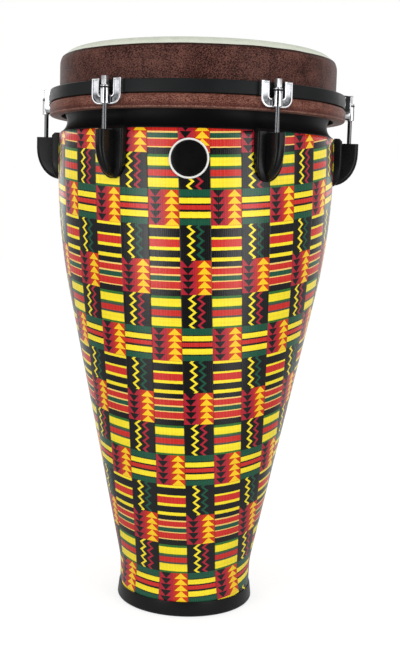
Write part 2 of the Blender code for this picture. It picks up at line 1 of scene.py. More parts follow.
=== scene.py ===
"""A timbau, a tall conical hand drum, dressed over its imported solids.

Lengths are metres and +Z is up. The drum stands on z = 0 round the Z axis, and its badge faces -Y.
An outline is a list of (distance from the axis, height) points, unless it says otherwise, and an angle
round the drum is counted from its front.
"""

import math

import bmesh
import bpy
from mathutils import Matrix, Vector, noise


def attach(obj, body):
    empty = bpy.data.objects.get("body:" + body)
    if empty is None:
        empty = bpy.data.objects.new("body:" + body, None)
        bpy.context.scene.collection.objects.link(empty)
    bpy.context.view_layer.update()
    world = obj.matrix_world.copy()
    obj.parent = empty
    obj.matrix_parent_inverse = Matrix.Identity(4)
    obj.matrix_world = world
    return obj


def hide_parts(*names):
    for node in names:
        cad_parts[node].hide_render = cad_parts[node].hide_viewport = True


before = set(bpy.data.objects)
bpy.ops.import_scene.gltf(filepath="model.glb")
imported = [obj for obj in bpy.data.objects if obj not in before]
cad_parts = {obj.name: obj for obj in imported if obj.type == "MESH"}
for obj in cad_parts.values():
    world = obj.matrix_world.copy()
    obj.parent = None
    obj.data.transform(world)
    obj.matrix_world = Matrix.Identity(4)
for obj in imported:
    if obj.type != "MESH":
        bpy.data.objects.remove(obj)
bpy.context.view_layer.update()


# Shell
# The drum's body: a long cone, upright for its last few centimetres, that swells into a belly, draws in at
# the neck and rolls in to the bearing edge. It is moulded in one from glass-fibre resin, black outside and
# rough with mat inside.
MM = 0.001
GAP = 0.3 * MM
BELLY_RADIUS = 176.6 * MM
BELLY_Z = 570 * MM
BELLY_CURVE = 797 * MM
CONE_FOOT_RADIUS = 75.9 * MM
UPRIGHT_BELOW = 51 * MM
UPRIGHT_BLEND = 4 * MM
WRAP_THICKNESS = 1 * MM
WRAP_TOP = 607.5 * MM
WRAP_BOTTOM = 13.5 * MM
WALL = 6 * MM
SHELL_INSET = WRAP_THICKNESS + GAP
BORE_INSET = SHELL_INSET + WALL
NECK_RADIUS = 166.2 * MM
NECK_CURVE = 16 * MM
NECK_LEDGE = 1.5 * MM
SHELL_BOTTOM = 6.3 * MM
SHELL_TOP_RADIUS = 173 * MM
SHOULDER = (155.3 * MM, 692 * MM)
BEARING_EDGE_START = 679 * MM
MERGED_WITHIN = 0.0005 * MM
SHARP_FROM = math.radians(35)


def arc(centre, radius, start, end, steps=12):
    """Points on a circle from one angle to another, in degrees, where 0 is outwards and 90 is up."""
    turns = [math.radians(start + (end - start) * step / steps) for step in range(steps + 1)]
    return [(centre[0] + radius * math.cos(turn), centre[1] + radius * math.sin(turn)) for turn in turns]


belly_across = BELLY_RADIUS - BELLY_CURVE - CONE_FOOT_RADIUS
CONE_LEAN = (
    math.pi / 2
    - math.atan2(BELLY_Z, belly_across)
    + math.asin(BELLY_CURVE / math.hypot(belly_across, BELLY_Z))
)


def body_radius(height, inset=0.0, upright=UPRIGHT_BELOW):
    """Radius of the body at a height, set in from the cloth's outside. Below upright it stops narrowing."""
    if height < BELLY_Z - (BELLY_CURVE - inset) * math.sin(CONE_LEAN):
        up = upright + UPRIGHT_BLEND * math.log1p(math.exp((height - upright) / UPRIGHT_BLEND))
        return CONE_FOOT_RADIUS + up * math.tan(CONE_LEAN) - inset / math.cos(CONE_LEAN)
    return BELLY_RADIUS - BELLY_CURVE + math.sqrt((BELLY_CURVE - inset) ** 2 - (height - BELLY_Z) ** 2)


def body_side(bottom, top, inset=0.0, steps=48):
    heights = [bottom + (top - bottom) * step / steps for step in range(steps + 1)]
    return [(body_radius(height, inset), height) for height in heights]


neck_drop = body_radius(WRAP_TOP, SHELL_INSET) - NECK_RADIUS
neck_z = WRAP_TOP + NECK_LEDGE + math.sqrt(NECK_CURVE**2 - (NECK_CURVE - neck_drop) ** 2)


def neck_side(inset, below, above):
    """The hollow curve of the neck, from the radius below it to the radius above it."""
    middle = NECK_RADIUS + NECK_CURVE
    curve = NECK_CURVE + inset
    low, high = (math.degrees(math.acos((middle - end) / curve)) for end in (below, above))
    return arc((middle, neck_z), curve, 180 + low, 180 - high, 20)


def turned(outline, steps=180, closed=True):
    """An outline spun about the Z axis. One that isn't closed starts and ends on the axis."""
    shape = bmesh.new()
    corners = [shape.verts.new((0, -radius, height)) for radius, height in outline]
    ends = corners[1:] + corners[:1] if closed else corners[1:]
    edges = [shape.edges.new(pair) for pair in zip(corners, ends)]
    bmesh.ops.spin(
        shape,
        geom=corners + edges,
        cent=(0, 0, 0),
        axis=(0, 0, 1),
        angle=math.tau,
        steps=steps,
        use_merge=True,
    )
    bmesh.ops.remove_doubles(shape, verts=shape.verts, dist=MERGED_WITHIN)
    bmesh.ops.recalc_face_normals(shape, faces=shape.faces)
    return shape


def piece(name, shape, finishes, body, nodes):
    """An object of this shape that rides on a body, stands for CAD nodes and takes a material slot."""
    mesh = bpy.data.meshes.new(name)
    shape.to_mesh(mesh)
    shape.free()
    mesh.shade_smooth()
    mesh.set_sharp_from_angle(angle=SHARP_FROM)
    for finish in finishes:
        mesh.materials.append(finish)
    item = bpy.data.objects.new(name, mesh)
    bpy.context.scene.collection.objects.link(item)
    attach(item, body)
    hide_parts(*nodes)
    return item


class Value:
    """A socket among a material's nodes, so that shader maths is written as plain sums."""

    def __init__(self, tree, socket):
        self.tree = tree
        self.socket = socket

    def node(self, kind, settings=None, inputs=None, output=0):
        """Another node with its settings, then its inputs, as a Value of one of its outputs."""
        made = self.tree.nodes.new(kind)
        for name, setting in (settings or {}).items():
            if name in ("stops", "bands"):
                made.color_ramp.interpolation = "CONSTANT" if name == "bands" else "LINEAR"
                while len(made.color_ramp.elements) < len(setting):
                    made.color_ramp.elements.new(1)
                for stop, (position, colour) in zip(made.color_ramp.elements, setting):
                    stop.position = position
                    stop.color = colour
            else:
                setattr(made, name, setting)
        for name, value in (inputs or {}).items():
            if isinstance(value, Value):
                self.tree.links.new(value.socket, made.inputs[name])
            else:
                made.inputs[name].default_value = value
        return Value(self.tree, made.outputs[output])

    def other(self, output):
        return Value(self.tree, self.socket.node.outputs[output])

    def axis(self, name):
        return self.node("ShaderNodeSeparateXYZ", None, {0: self}, name)

    def maths(self, operation, *values):
        return self.node("ShaderNodeMath", {"operation": operation}, dict(enumerate(values)))

    def take(self, operation):
        """A function of this value alone, such as its root, sine or fraction."""
        return self.maths(operation, self)

    def __add__(self, other):
        return self.maths("ADD", self, other)

    def __sub__(self, other):
        return self.maths("SUBTRACT", self, other)

    def __rsub__(self, other):
        return self.maths("SUBTRACT", other, self)

    def __mul__(self, other):
        return self.maths("MULTIPLY", self, other)

    def __truediv__(self, other):
        return self.maths("DIVIDE", self, other)

    def __mod__(self, other):
        return self.maths("FLOORED_MODULO", self, other)

    def __lt__(self, other):
        return self.maths("LESS_THAN", self, other)

    def __gt__(self, other):
        return self.maths("GREATER_THAN", self, other)

    def __abs__(self):
        return self.take("ABSOLUTE")

    def __floor__(self):
        return self.take("FLOOR")

    __radd__, __rmul__ = __add__, __mul__

    def ramp(self, low, high, start=0.0, end=1.0):
        """Smoothly from start to end as this value goes from low to high."""
        settings = {"interpolation_type": "SMOOTHSTEP"}
        return self.node("ShaderNodeMapRange", settings, dict(enumerate((self, low, high, start, end))))

    def mix(self, below, above):
        """The colour below where this is 0, and the colour above where it is 1."""
        return self.node("ShaderNodeMix", {"data_type": "RGBA"}, {0: self, 6: below, 7: above}, 2)

    def noise(self, scale, detail=3.0, roughness=0.55, stretch=(1, 1, 1)):
        """Noise over these coordinates, finer along an axis whose stretch is larger."""
        spread = self.node("ShaderNodeVectorMath", {"operation": "MULTIPLY"}, {0: self, 1: stretch})
        inputs = {"Vector": spread, "Scale": scale, "Detail": detail, "Roughness": roughness}
        return self.node("ShaderNodeTexNoise", None, inputs)

    def bump(self, distance, strength=1.0):
        inputs = {"Height": self, "Distance": distance, "Strength": strength}
        return self.node("ShaderNodeBump", None, inputs)


def srgb(red, green, blue):
    """A colour in 0 to 255 screen values, as the linear values that a socket takes."""
    parts = (part / 255 for part in (red, green, blue))
    return (*(((part + 0.055) / 1.055) ** 2.4 if part > 0.04 else part / 12.92 for part in parts), 1)


def new_finish(name, **sockets):
    """A material with these constant sockets, and a Value of the piece's own coordinates."""
    material = bpy.data.materials.new(name)
    material.use_nodes = True
    shader = material.node_tree.nodes["Principled BSDF"]
    for socket, value in sockets.items():
        shader.inputs[socket.replace("_", " ")].default_value = value
    place = material.node_tree.nodes.new("ShaderNodeTexCoord").outputs["Object"]
    return material, Value(material.node_tree, place)


def feed(material, colour, roughness, normal=None):
    """Links what varies over a surface to the shader."""
    inputs = material.node_tree.nodes["Principled BSDF"].inputs
    links = {"Base Color": colour, "Roughness": roughness, "Normal": normal}
    for socket, value in links.items():
        if value:
            material.node_tree.links.new(value.socket, inputs[socket])


gel_coat, place = new_finish("gel_coat", Specular_IOR_Level=0.09)
cloudy = place.noise(9, 4)
peel = place.noise(420, 2)
feed(
    gel_coat,
    cloudy.mix(srgb(12, 12, 13), srgb(19, 19, 20)),
    cloudy.ramp(0.3, 0.7, 0.34, 0.46),
    peel.bump(0.05 * MM),
)
fibre_mat, place = new_finish("fibre_mat")
strands = place.noise(160, 5, 0.7, (1, 1, 0.35)) * 0.6 + place.noise(210, 4, 0.7, (0.3, 0.3, 1)) * 0.4
feed(
    fibre_mat,
    strands.mix(srgb(14, 14, 14), srgb(58, 57, 54)),
    strands.ramp(0.3, 0.7, 0.75, 0.5),
    strands.bump(0.5 * MM),
)
edge_round = SHELL_TOP_RADIUS - SHOULDER[0]
inner_neck = neck_side(WALL, body_radius(WRAP_TOP, BORE_INSET), SHELL_TOP_RADIUS - WALL)
shell = turned(
    [
        *body_side(SHELL_BOTTOM, WRAP_TOP, SHELL_INSET),
        *neck_side(0, body_radius(WRAP_TOP, SHELL_INSET), SHELL_TOP_RADIUS),
        *arc(SHOULDER, edge_round, 0, 90),
        SHOULDER,
        (SHELL_TOP_RADIUS - WALL, BEARING_EDGE_START),
        *inner_neck[:0:-1],
        *body_side(SHELL_BOTTOM, inner_neck[0][1], BORE_INSET)[::-1],
    ]
)
for face in shell.faces:
    middle = face.calc_center_median()
    face.material_index = int(face.normal.x * middle.x + face.normal.y * middle.y < 0)
piece("moulded_shell", shell, [gel_coat, fibre_mat], "drum", ["shell"])


# Cloth wrap
# Cotton strip cloth, bars and triangles beside zigzags in yellow, red, green and black, wrapped once round
# the shell, lapped at the back and glued down under a clear glossy lacquer. The foot ring clasps its hem.
CLOTH_FRONT = math.radians(2.427)
LAP = math.radians(6)
LAP_LIFT = 1.1 * MM
CLOTH_COLUMNS = 244
CLOTH_ROWS = 72
CLOTH_SPREAD = 0.1334
STRIP_LEAN = 0.0453
LEAN_PIVOT = 247 * MM
ROW_SLOPE = 0.021
STRIP_WIDTH = 36.29 * MM
STRIP_OFFSET = 10.12 * MM
REPEAT = 162.94 * MM
BAR_OFFSET = 69.5 * MM
ZIGZAG_OFFSET = 68.9 * MM
WOBBLE = 0.5 * MM
TRIANGLE_ROWS = 5
TRIANGLE_SHARE = 0.2476
BLACK_MIDDLE = 0.24
BLACK_HALF = 0.19
GOLD_MIDDLE = 0.765
GOLD_HALF = 0.225
YELLOW_ZIGZAG = 0.36
DARK_ZIGZAG = 0.65
QUARTER = 0.25
ZIGZAG_HALF = 0.052
ZIGZAG_SWING = 0.35
ZIGZAG_PERIOD = 0.26
ZIGZAG_START = 0.14
WEFT_PITCH = 1.7 * MM
WARP_PITCH = 2.2 * MM
STRIP_SEED = 61
belly_foot = BELLY_Z - BELLY_CURVE * math.sin(CONE_LEAN)


def down_cloth(height):
    """Length along the cloth from its top edge down to a height."""
    top, straight = (math.asin((z - BELLY_Z) / BELLY_CURVE) for z in (WRAP_TOP, max(height, belly_foot)))
    return BELLY_CURVE * (top - straight) + max(belly_foot - height, 0) / math.cos(CONE_LEAN)


def on_strips(turn, height):
    """Where a point of the wrapped cloth lies across and down the flat strips."""
    reach = body_radius(height, upright=0) / CLOTH_SPREAD
    down = down_cloth(height) + reach * (1 - math.cos(CLOTH_SPREAD * turn))
    across = reach * math.sin(CLOTH_SPREAD * turn) - STRIP_LEAN * (down - LEAN_PIVOT)
    return across, down + ROW_SLOPE * across


cloth = bmesh.new()
bmesh.ops.create_grid(cloth, x_segments=CLOTH_COLUMNS, y_segments=CLOTH_ROWS, size=0.5)
strips = cloth.loops.layers.uv.new("strips")
rolled = {
    corner: (
        (math.tau + LAP) * (corner.co.x + 0.5) - math.pi,
        WRAP_BOTTOM + (WRAP_TOP - WRAP_BOTTOM) * (corner.co.y + 0.5),
    )
    for corner in cloth.verts
}
for face in cloth.faces:
    for loop in face.loops:
        loop[strips].uv = on_strips(*rolled[loop.vert])
for corner, (turn, height) in rolled.items():
    lift = LAP_LIFT if turn > math.pi + LAP / 8 else 0
    spot = Vector((0, -body_radius(height) - lift, height))
    corner.co = Matrix.Rotation(turn + CLOTH_FRONT, 3, "Z") @ spot
printed_cloth, place = new_finish("printed_cloth", Specular_IOR_Level=0.5)
flat = place.node("ShaderNodeUVMap", {"uv_map": "strips"})
across = flat.axis("X") + (flat.noise(170, 2) - 0.5) * WOBBLE
down = flat.axis("Y") + (flat.noise(150, 2, 0.5, (1.3, 1, 1)) - 0.5) * WOBBLE
strip = (across + STRIP_OFFSET) / STRIP_WIDTH
column = math.floor(strip)
within = strip - column
barred = column % 2
bar = ((down - BAR_OFFSET) / REPEAT).take("FRACT")
zig = ((down - ZIGZAG_OFFSET) / REPEAT).take("FRACT")
YELLOW = srgb(254, 230, 40)
GOLD = srgb(255, 206, 28)
PALE = srgb(250, 208, 112)
RED = srgb(206, 42, 33)
CRIMSON = srgb(176, 30, 48)
ORANGE = srgb(204, 52, 4)
GREEN = srgb(20, 82, 58)
LEAF = srgb(46, 110, 42)
BLACK = srgb(14, 14, 15)
GREY = srgb(70, 74, 70)
bars = bar.node(
    "ShaderNodeValToRGB",
    {
        "bands": [
            (0.0, RED), (TRIANGLE_SHARE, YELLOW), (0.269, BLACK), (0.329, YELLOW), (0.347, RED),
            (0.4, YELLOW), (0.4254, BLACK), (0.4756, YELLOW), (0.5006, BLACK), (0.5403, PALE),
            (0.5513, RED), (0.5947, PALE), (0.6057, GREEN), (0.6421, PALE), (0.6491, RED), (0.7005, PALE),
            (0.7078, BLACK), (0.7555, LEAF), (0.7738, YELLOW), (0.8331, LEAF), (0.8441, GREY),
            (0.8607, RED), (0.9034, GREY), (0.9218, YELLOW), (0.9817, LEAF),
        ]
    },
    {0: bar},
)
short_bars = zig.node(
    "ShaderNodeValToRGB",
    {
        "bands": [
            (0.0, GREEN), (0.0485, BLACK), (0.0556, YELLOW), (0.0944, BLACK), (0.108, RED),
            (0.139, BLACK), (0.153, YELLOW), (0.1975, BLACK), (0.205, GREEN), (0.25, BLACK),
        ]
    },
    {0: zig},
)
# A zigzag strip repeats in four quarters: short bars, zigzags, rows of triangles, and zigzags again.
zigzag_rows = (zig - 2 * QUARTER) * (TRIANGLE_ROWS / QUARTER)
rows = barred.ramp(0, 1, zigzag_rows, bar * (TRIANGLE_ROWS / TRIANGLE_SHARE))
row = rows.take("FRACT")
ground_stops = [(0.0, CRIMSON), (0.45, CRIMSON), (0.6, ORANGE)]
ground = within.node("ShaderNodeValToRGB", {"stops": ground_stops}, {0: within})
triangles = (abs(within - BLACK_MIDDLE) < BLACK_HALF * (1 - row)).mix(ground, BLACK)
triangles = (abs(within - GOLD_MIDDLE) < GOLD_HALF * row).mix(triangles, GOLD)
swing = ((zig / QUARTER - ZIGZAG_START) / ZIGZAG_PERIOD + 0.5).take("FRACT")
swing = ZIGZAG_SWING * (0.25 - abs(swing - 0.5))
zigzags = (abs(within - YELLOW_ZIGZAG - swing) < ZIGZAG_HALF).mix(BLACK, YELLOW)
dark_zigzag = (zig > 2.5 * QUARTER).mix(GREEN, CRIMSON)
zigzags = (abs(within - DARK_ZIGZAG - swing) < ZIGZAG_HALF).mix(zigzags, dark_zigzag)
zigzags = (zig > QUARTER).mix(short_bars, zigzags)
zigzags = (abs(zig - 2.5 * QUARTER) < QUARTER / 2).mix(zigzags, triangles)
print_colour = barred.mix(zigzags, (bar < TRIANGLE_SHARE).mix(bars, triangles))
weft = down / WEFT_PITCH
warp = across / WARP_PITCH
weft_number = math.floor(weft) + column * STRIP_SEED
weft_shade = flat.node("ShaderNodeTexWhiteNoise", {"noise_dimensions": "1D"}, {"W": weft_number})
warp_shade = flat.node("ShaderNodeTexWhiteNoise", {"noise_dimensions": "1D"}, {"W": math.floor(warp)})
worn = flat.noise(26, 5, 0.62)
tint = 0.88 + weft_shade * 0.1 + warp_shade * 0.04 + worn * 0.14
print_colour = print_colour.node("ShaderNodeHueSaturation", None, {"Value": tint, "Color": print_colour})
weft_ribs = (weft * math.tau).take("SINE")
warp_ribs = (warp * math.tau).take("SINE")
ribs = weft_ribs * 0.6 + warp_ribs * 0.4
joins = abs(within - 0.5).ramp(0.48, 0.5)
feed(
    printed_cloth,
    (joins * 0.55).mix(print_colour, BLACK),
    worn.ramp(0.3, 0.7, 0.2, 0.26) + warp_shade * 0.08 + warp_ribs * 0.03,
    (ribs * 0.25 + worn - joins * 0.8).bump(0.12 * MM),
)
wrap = piece("strip_cloth", cloth, [printed_cloth], "drum", ["cloth_wrap"])
thickness = wrap.modifiers.new("cloth_thickness", "SOLIDIFY")
thickness.thickness = WRAP_THICKNESS
thickness.offset = -1


# Foot ring
# Moulded black rubber, with a groove that clasps the shell's lower edge and the cloth's hem. It is pushed
# on and glued, and its outer corner is dull and scuffed from standing and dragging on floors.
FOOT_RADIUS = 89.6 * MM
FOOT_HEIGHT = 19.5 * MM
FOOT_FLOOR = 6 * MM
FOOT_CORNER = 4 * MM
FOOT_LEAN = 1.8 * MM
FOOT_EDGE = 0.4 * MM
LIP_HEIGHT = 17 * MM
LIP_THICKNESS = 4 * MM
SCUFFED_BELOW = 12 * MM
rubber, place = new_finish("black_rubber", Specular_IOR_Level=0.3)
height = place.axis("Z")
grain = place.noise(900, 3)
dust = place.noise(60, 5, 0.65) * height.ramp(0, SCUFFED_BELOW, 1.15, 0.55)
feed(
    rubber,
    dust.ramp(0.5, 0.85).mix(srgb(15, 15, 16), srgb(46, 45, 44)),
    dust.ramp(0.3, 0.7, 0.3, 0.48),
    (grain + dust * 0.6).bump(0.09 * MM),
)
inner_lip = [(body_radius(z, BORE_INSET + GAP), z) for z in (FOOT_FLOOR, LIP_HEIGHT)]
foot = turned(
    [
        *arc((FOOT_RADIUS - FOOT_CORNER, FOOT_CORNER), FOOT_CORNER, -90, 0, 6),
        *arc((FOOT_RADIUS - FOOT_LEAN - FOOT_EDGE, FOOT_HEIGHT - FOOT_EDGE), FOOT_EDGE, 0, 90, 4),
        (body_radius(FOOT_HEIGHT, -GAP), FOOT_HEIGHT),
        (body_radius(FOOT_FLOOR, -GAP), FOOT_FLOOR),
        *inner_lip,
        (inner_lip[1][0] - LIP_THICKNESS, LIP_HEIGHT),
        (inner_lip[0][0] - LIP_THICKNESS, 0),
    ]
)
piece("rubber_foot", foot, [rubber], "drum", ["foot_ring"])


# Lugs
# Six black castings, each a base that hugs the belly and a nose that holds the rod's threaded insert. They
# are die cast and satin powder coated, and screwed on from inside the shell.
STATIONS = [math.tau * (number + 0.5) / 6 for number in range(6)]
ROD_CIRCLE = 195.5 * MM
LUG_TOP = 609.5 * MM
LUG_BOTTOM = 549.5 * MM
LUG_BACK = 170.6 * MM
LUG_POINT = 26 * MM
LUG_TIP = 1 * MM
LUG_SLICES = 24
BASE_WIDTH = 35 * MM
BASE_RADIUS = 185.6 * MM
BASE_SLOPE = 3.5 * MM
BASE_FOOT = 30 * MM
BASE_EDGE = 2.5 * MM
NOSE_WIDTH = 13 * MM
NOSE_RADIUS = 207.5 * MM
NOSE_EDGE = 5 * MM
NOSE_TOP = 604 * MM
NOSE_BOTTOM = 550.7 * MM
NOSE_CURVE = 40.3 * MM
INSERT_RADIUS = 4.4 * MM
INSERT_BOTTOM = 577.5 * MM
INSERT_TOP = 603.5 * MM
CUT_SPARE = 6 * MM
SOCKET_SPARE = 3 * MM
FLANK_START = 3 * MM
TOUCHING = 0.001 * MM


def slab(corners, travel):
    """A flat face through corners in space, extruded along travel."""
    shape = bmesh.new()
    face = shape.faces.new([shape.verts.new(corner) for corner in corners])
    grown = bmesh.ops.extrude_face_region(shape, geom=[face])["geom"]
    far_side = [part for part in grown if isinstance(part, bmesh.types.BMVert)]
    bmesh.ops.translate(shape, verts=far_side, vec=travel)
    bmesh.ops.recalc_face_normals(shape, faces=shape.faces)
    return shape


def round_edges(shape, edges, width, segments):
    bmesh.ops.bevel(
        shape, geom=edges, offset=width, affect="EDGES", segments=segments, profile=0.5, material=-1
    )


def lug_side(top, reach, bottom, curve_height, steps=10):
    """Side view of a lug: flat on top, upright in front, then a quarter ellipse in to the shell."""
    turns = [math.pi / 2 * step / steps for step in range(steps + 1)]
    depth = reach - BELLY_RADIUS
    curve = [
        (BELLY_RADIUS + depth * math.cos(turn), bottom + curve_height * (1 - math.sin(turn)))
        for turn in turns
    ]
    return [(LUG_BACK, top), (reach, top), *curve, (LUG_BACK, bottom)]


def lug_block(side_view, width, edge, segments):
    """A side view given its width, rounded along both flanks in front and drawn in to its lower end."""
    shape = slab([(width / 2, -reach, height) for reach, height in side_view], (-width, 0, 0))
    flank_edges = [
        link
        for link in shape.edges
        if abs(link.verts[0].co.x - link.verts[1].co.x) < width / 2
        and max(corner.co.y for corner in link.verts) < -LUG_BACK - FLANK_START
    ]
    round_edges(shape, flank_edges, edge, segments)
    for step in range(1, LUG_SLICES):
        level = (0, 0, LUG_BOTTOM + (LUG_TOP - LUG_BOTTOM) * step / LUG_SLICES)
        everything = [*shape.verts, *shape.edges, *shape.faces]
        bmesh.ops.bisect_plane(shape, geom=everything, dist=TOUCHING, plane_co=level, plane_no=(0, 0, 1))
    for corner in shape.verts:
        corner.co.x *= lug_share(corner.co.z)
    return shape


def lug_share(height):
    """Share of its full width that a lug keeps at a height: all of it, then half an ellipse."""
    up = min((height - LUG_BOTTOM + LUG_TIP) / LUG_POINT, 1)
    return math.sqrt(1 - (1 - up) ** 2)


def carved(shape, joins=(), cuts=()):
    """A shape with others joined to it, and then others cut out of it."""
    items = []
    for part in (shape, *joins, *cuts):
        mesh = bpy.data.meshes.new("rough")
        part.to_mesh(mesh)
        part.free()
        items.append(bpy.data.objects.new("rough", mesh))
        bpy.context.scene.collection.objects.link(items[-1])
    for number, item in enumerate(items[1:]):
        step = items[0].modifiers.new("step", "BOOLEAN")
        step.operation = "UNION" if number < len(joins) else "DIFFERENCE"
        step.object = item
    result = bmesh.new()
    result.from_object(items[0], bpy.context.evaluated_depsgraph_get())
    for item in items:
        bpy.data.objects.remove(item)
    return result


def moved(shape, matrix):
    bmesh.ops.transform(shape, matrix=matrix, verts=shape.verts)
    return shape


def at_station(shape, angle):
    return moved(shape.copy(), Matrix.Rotation(angle, 4, "Z"))


def on_rod(shape):
    return moved(shape, Matrix.Translation((0, -ROD_CIRCLE, 0)))


def cylinder(radius, start, end, steps=48):
    return turned([(0, end), (radius, end), (radius, start), (0, start)], steps, closed=False)


cast_black, place = new_finish("cast_black", Specular_IOR_Level=0.2)
speckle = place.noise(1500, 2)
patchy = place.noise(45, 4)
feed(
    cast_black,
    patchy.mix(srgb(12, 12, 13), srgb(20, 20, 21)),
    patchy.ramp(0.3, 0.7, 0.2, 0.32),
    speckle.bump(0.03 * MM),
)
base_view = lug_side(LUG_TOP, BASE_RADIUS, LUG_BOTTOM, BASE_FOOT)
base_view[1:2] = [(BASE_RADIUS - BASE_SLOPE, LUG_TOP), (BASE_RADIUS, LUG_TOP - BASE_SLOPE)]
nose_view = lug_side(NOSE_TOP, NOSE_RADIUS, NOSE_BOTTOM, NOSE_CURVE)
low = LUG_BOTTOM - CUT_SPARE
high = LUG_TOP + CUT_SPARE
core = LUG_BACK - CUT_SPARE
lug = carved(
    lug_block(base_view, BASE_WIDTH, BASE_EDGE, 4),
    [lug_block(nose_view, NOSE_WIDTH, NOSE_EDGE, 6)],
    [
        turned([*body_side(low, high, -GAP, 16), (core, high), (core, low)]),
        on_rod(cylinder(INSERT_RADIUS + GAP, INSERT_BOTTOM - SOCKET_SPARE, high)),
    ],
)
for number, angle in enumerate(STATIONS, start=1):
    name = f"lug_{number}"
    piece(f"cast_{name}", at_station(lug, angle), [cast_black], "drum", [name])


# Lug inserts
# Turned brass sleeves, pressed into the lugs from above, whose threads the rods screw into. Brass wears
# less than the casting would, and only a sleeve's rim shows, round the rod on top of the nose.
ROD_RADIUS = 2.75 * MM
ROD_HOLE = 3.1 * MM
SLEEVE_EDGE = 0.5 * MM
brass, place = new_finish("turned_brass", Metallic=1.0)
lathe = place.noise(700, 3, 0.6, (0.2, 0.2, 4))
feed(
    brass,
    lathe.mix(srgb(178, 138, 62), srgb(214, 180, 104)),
    lathe.ramp(0.3, 0.7, 0.24, 0.4),
    lathe.bump(0.03 * MM),
)
insert = on_rod(
    turned(
        [
            (INSERT_RADIUS - SLEEVE_EDGE, INSERT_TOP),
            (INSERT_RADIUS, INSERT_TOP - SLEEVE_EDGE),
            (INSERT_RADIUS, INSERT_BOTTOM),
            (ROD_HOLE, INSERT_BOTTOM),
            (ROD_HOLE, INSERT_TOP - SLEEVE_EDGE),
            (ROD_HOLE + SLEEVE_EDGE, INSERT_TOP),
        ],
        steps=48,
    )
)
for number, angle in enumerate(STATIONS, start=1):
    sleeve = at_station(insert, angle)
    piece(f"brass_sleeve_{number}", sleeve, [brass], "drum", [f"lug_insert_{number}"])


# Lug screws
# Zinc-plated steel screws with domed cross-slotted heads, two to a lug, driven outwards through the wall
# from inside the shell. Their heads bear on the bore.
SCREW_HEIGHTS = {"upper": 595.5 * MM, "lower": 563.5 * MM}
SCREW_RADIUS = 1.75 * MM
SCREW_LENGTH = 18 * MM
SCREW_HEAD_RADIUS = 3.6 * MM
SCREW_HEAD_HEIGHT = 2.6 * MM
SLOT_END = 2.1 * MM
SLOT_HALF = 0.35 * MM
SLOT_DEPTH = 1.3 * MM
BORE_FACETS = 36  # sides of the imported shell's bore, on whose flats the heads seat
zinc, place = new_finish("zinc_plate", Metallic=1.0)
spangle = place.noise(500, 4)
rubbed = place.noise(90, 4)
feed(
    zinc,
    rubbed.mix(srgb(164, 166, 170), srgb(196, 197, 200)),
    (spangle * 0.5 + rubbed * 0.5).ramp(0.3, 0.7, 0.18, 0.36),
    spangle.bump(0.01 * MM),
)


def outwards(shape, height, angle=0.0):
    """A shape made up the Z axis, laid to point out of the drum at a height and an angle from the front."""
    lay = Matrix.Rotation(math.pi / 2, 4, "X")
    return moved(shape, Matrix.Rotation(angle, 4, "Z") @ Matrix.Translation((0, 0, height)) @ lay)


for end, height in SCREW_HEIGHTS.items():
    sides = (height - SCREW_HEAD_RADIUS, height + SCREW_HEAD_RADIUS)
    seat = min(body_radius(side, BORE_INSET) for side in sides) * math.cos(math.pi / BORE_FACETS) - GAP
    dome = [
        (across * SCREW_HEAD_RADIUS, seat - rise * SCREW_HEAD_HEIGHT)
        for across, rise in arc((0, 0), 1, 0, 90, 6)
    ]
    stem = [(0, seat + SCREW_LENGTH), (SCREW_RADIUS, seat + SCREW_LENGTH), (SCREW_RADIUS, seat)]
    slot_floor = seat - SCREW_HEAD_HEIGHT + SLOT_DEPTH
    slots = []
    for turn in (0, math.pi / 2):
        slot = bmesh.new()
        bmesh.ops.create_cube(slot, size=1)
        bmesh.ops.scale(slot, vec=(2 * SLOT_END, 2 * SLOT_HALF, CUT_SPARE), verts=slot.verts)
        bmesh.ops.translate(slot, vec=(0, 0, slot_floor - CUT_SPARE / 2), verts=slot.verts)
        slots.append(moved(slot, Matrix.Rotation(turn, 4, "Z")))
    screw = carved(turned([*stem, *dome], steps=24, closed=False), cuts=slots)
    for number, angle in enumerate(STATIONS, start=1):
        name = f"lug_screw_{number}_{end}"
        driven = outwards(screw.copy(), height, angle)
        piece(f"steel_{name}", driven, [zinc], "drum", [name])


# Badge
# A round black plate in a thin white rim, pressed to the belly's curve and glued on between the two front
# lugs. It is moulded plastic with a polished, bare face.
BADGE_Z = 573.4 * MM
BADGE_RADIUS = 23 * MM
BADGE_OPENING = 20.6 * MM
RIM_THICKNESS = 2.2 * MM
PLATE_THICKNESS = 1.6 * MM
PLATE_RINGS = 12
PLATE_BEVEL = [(0.4 * MM, 0.1 * MM), (0, 0.5 * MM)]  # in from the edge, down from the face
badge_black, place = new_finish("badge_black", Specular_IOR_Level=0.25)
haze = place.noise(70, 4)
feed(
    badge_black,
    haze.mix(srgb(10, 10, 11), srgb(16, 16, 17)),
    haze.ramp(0.3, 0.7, 0.18, 0.26),
    haze.bump(0.02 * MM),
)
white_rim, place = new_finish("white_rim", Coat_Weight=0.3, Coat_Roughness=0.1)
haze = place.noise(180, 4)
feed(
    white_rim,
    haze.mix(srgb(226, 226, 221), srgb(243, 243, 240)),
    haze.ramp(0.3, 0.7, 0.25, 0.4),
    haze.bump(0.02 * MM),
)


def on_belly(shape):
    """A shape made flat, with its thickness up the Z axis, laid round the front of the belly."""
    for corner in shape.verts:
        across, up, lift = corner.co
        spot = Vector((0, -body_radius(BADGE_Z + up, -GAP) - lift, BADGE_Z + up))
        corner.co = Matrix.Rotation(across / BELLY_RADIUS, 3, "Z") @ spot
    return shape


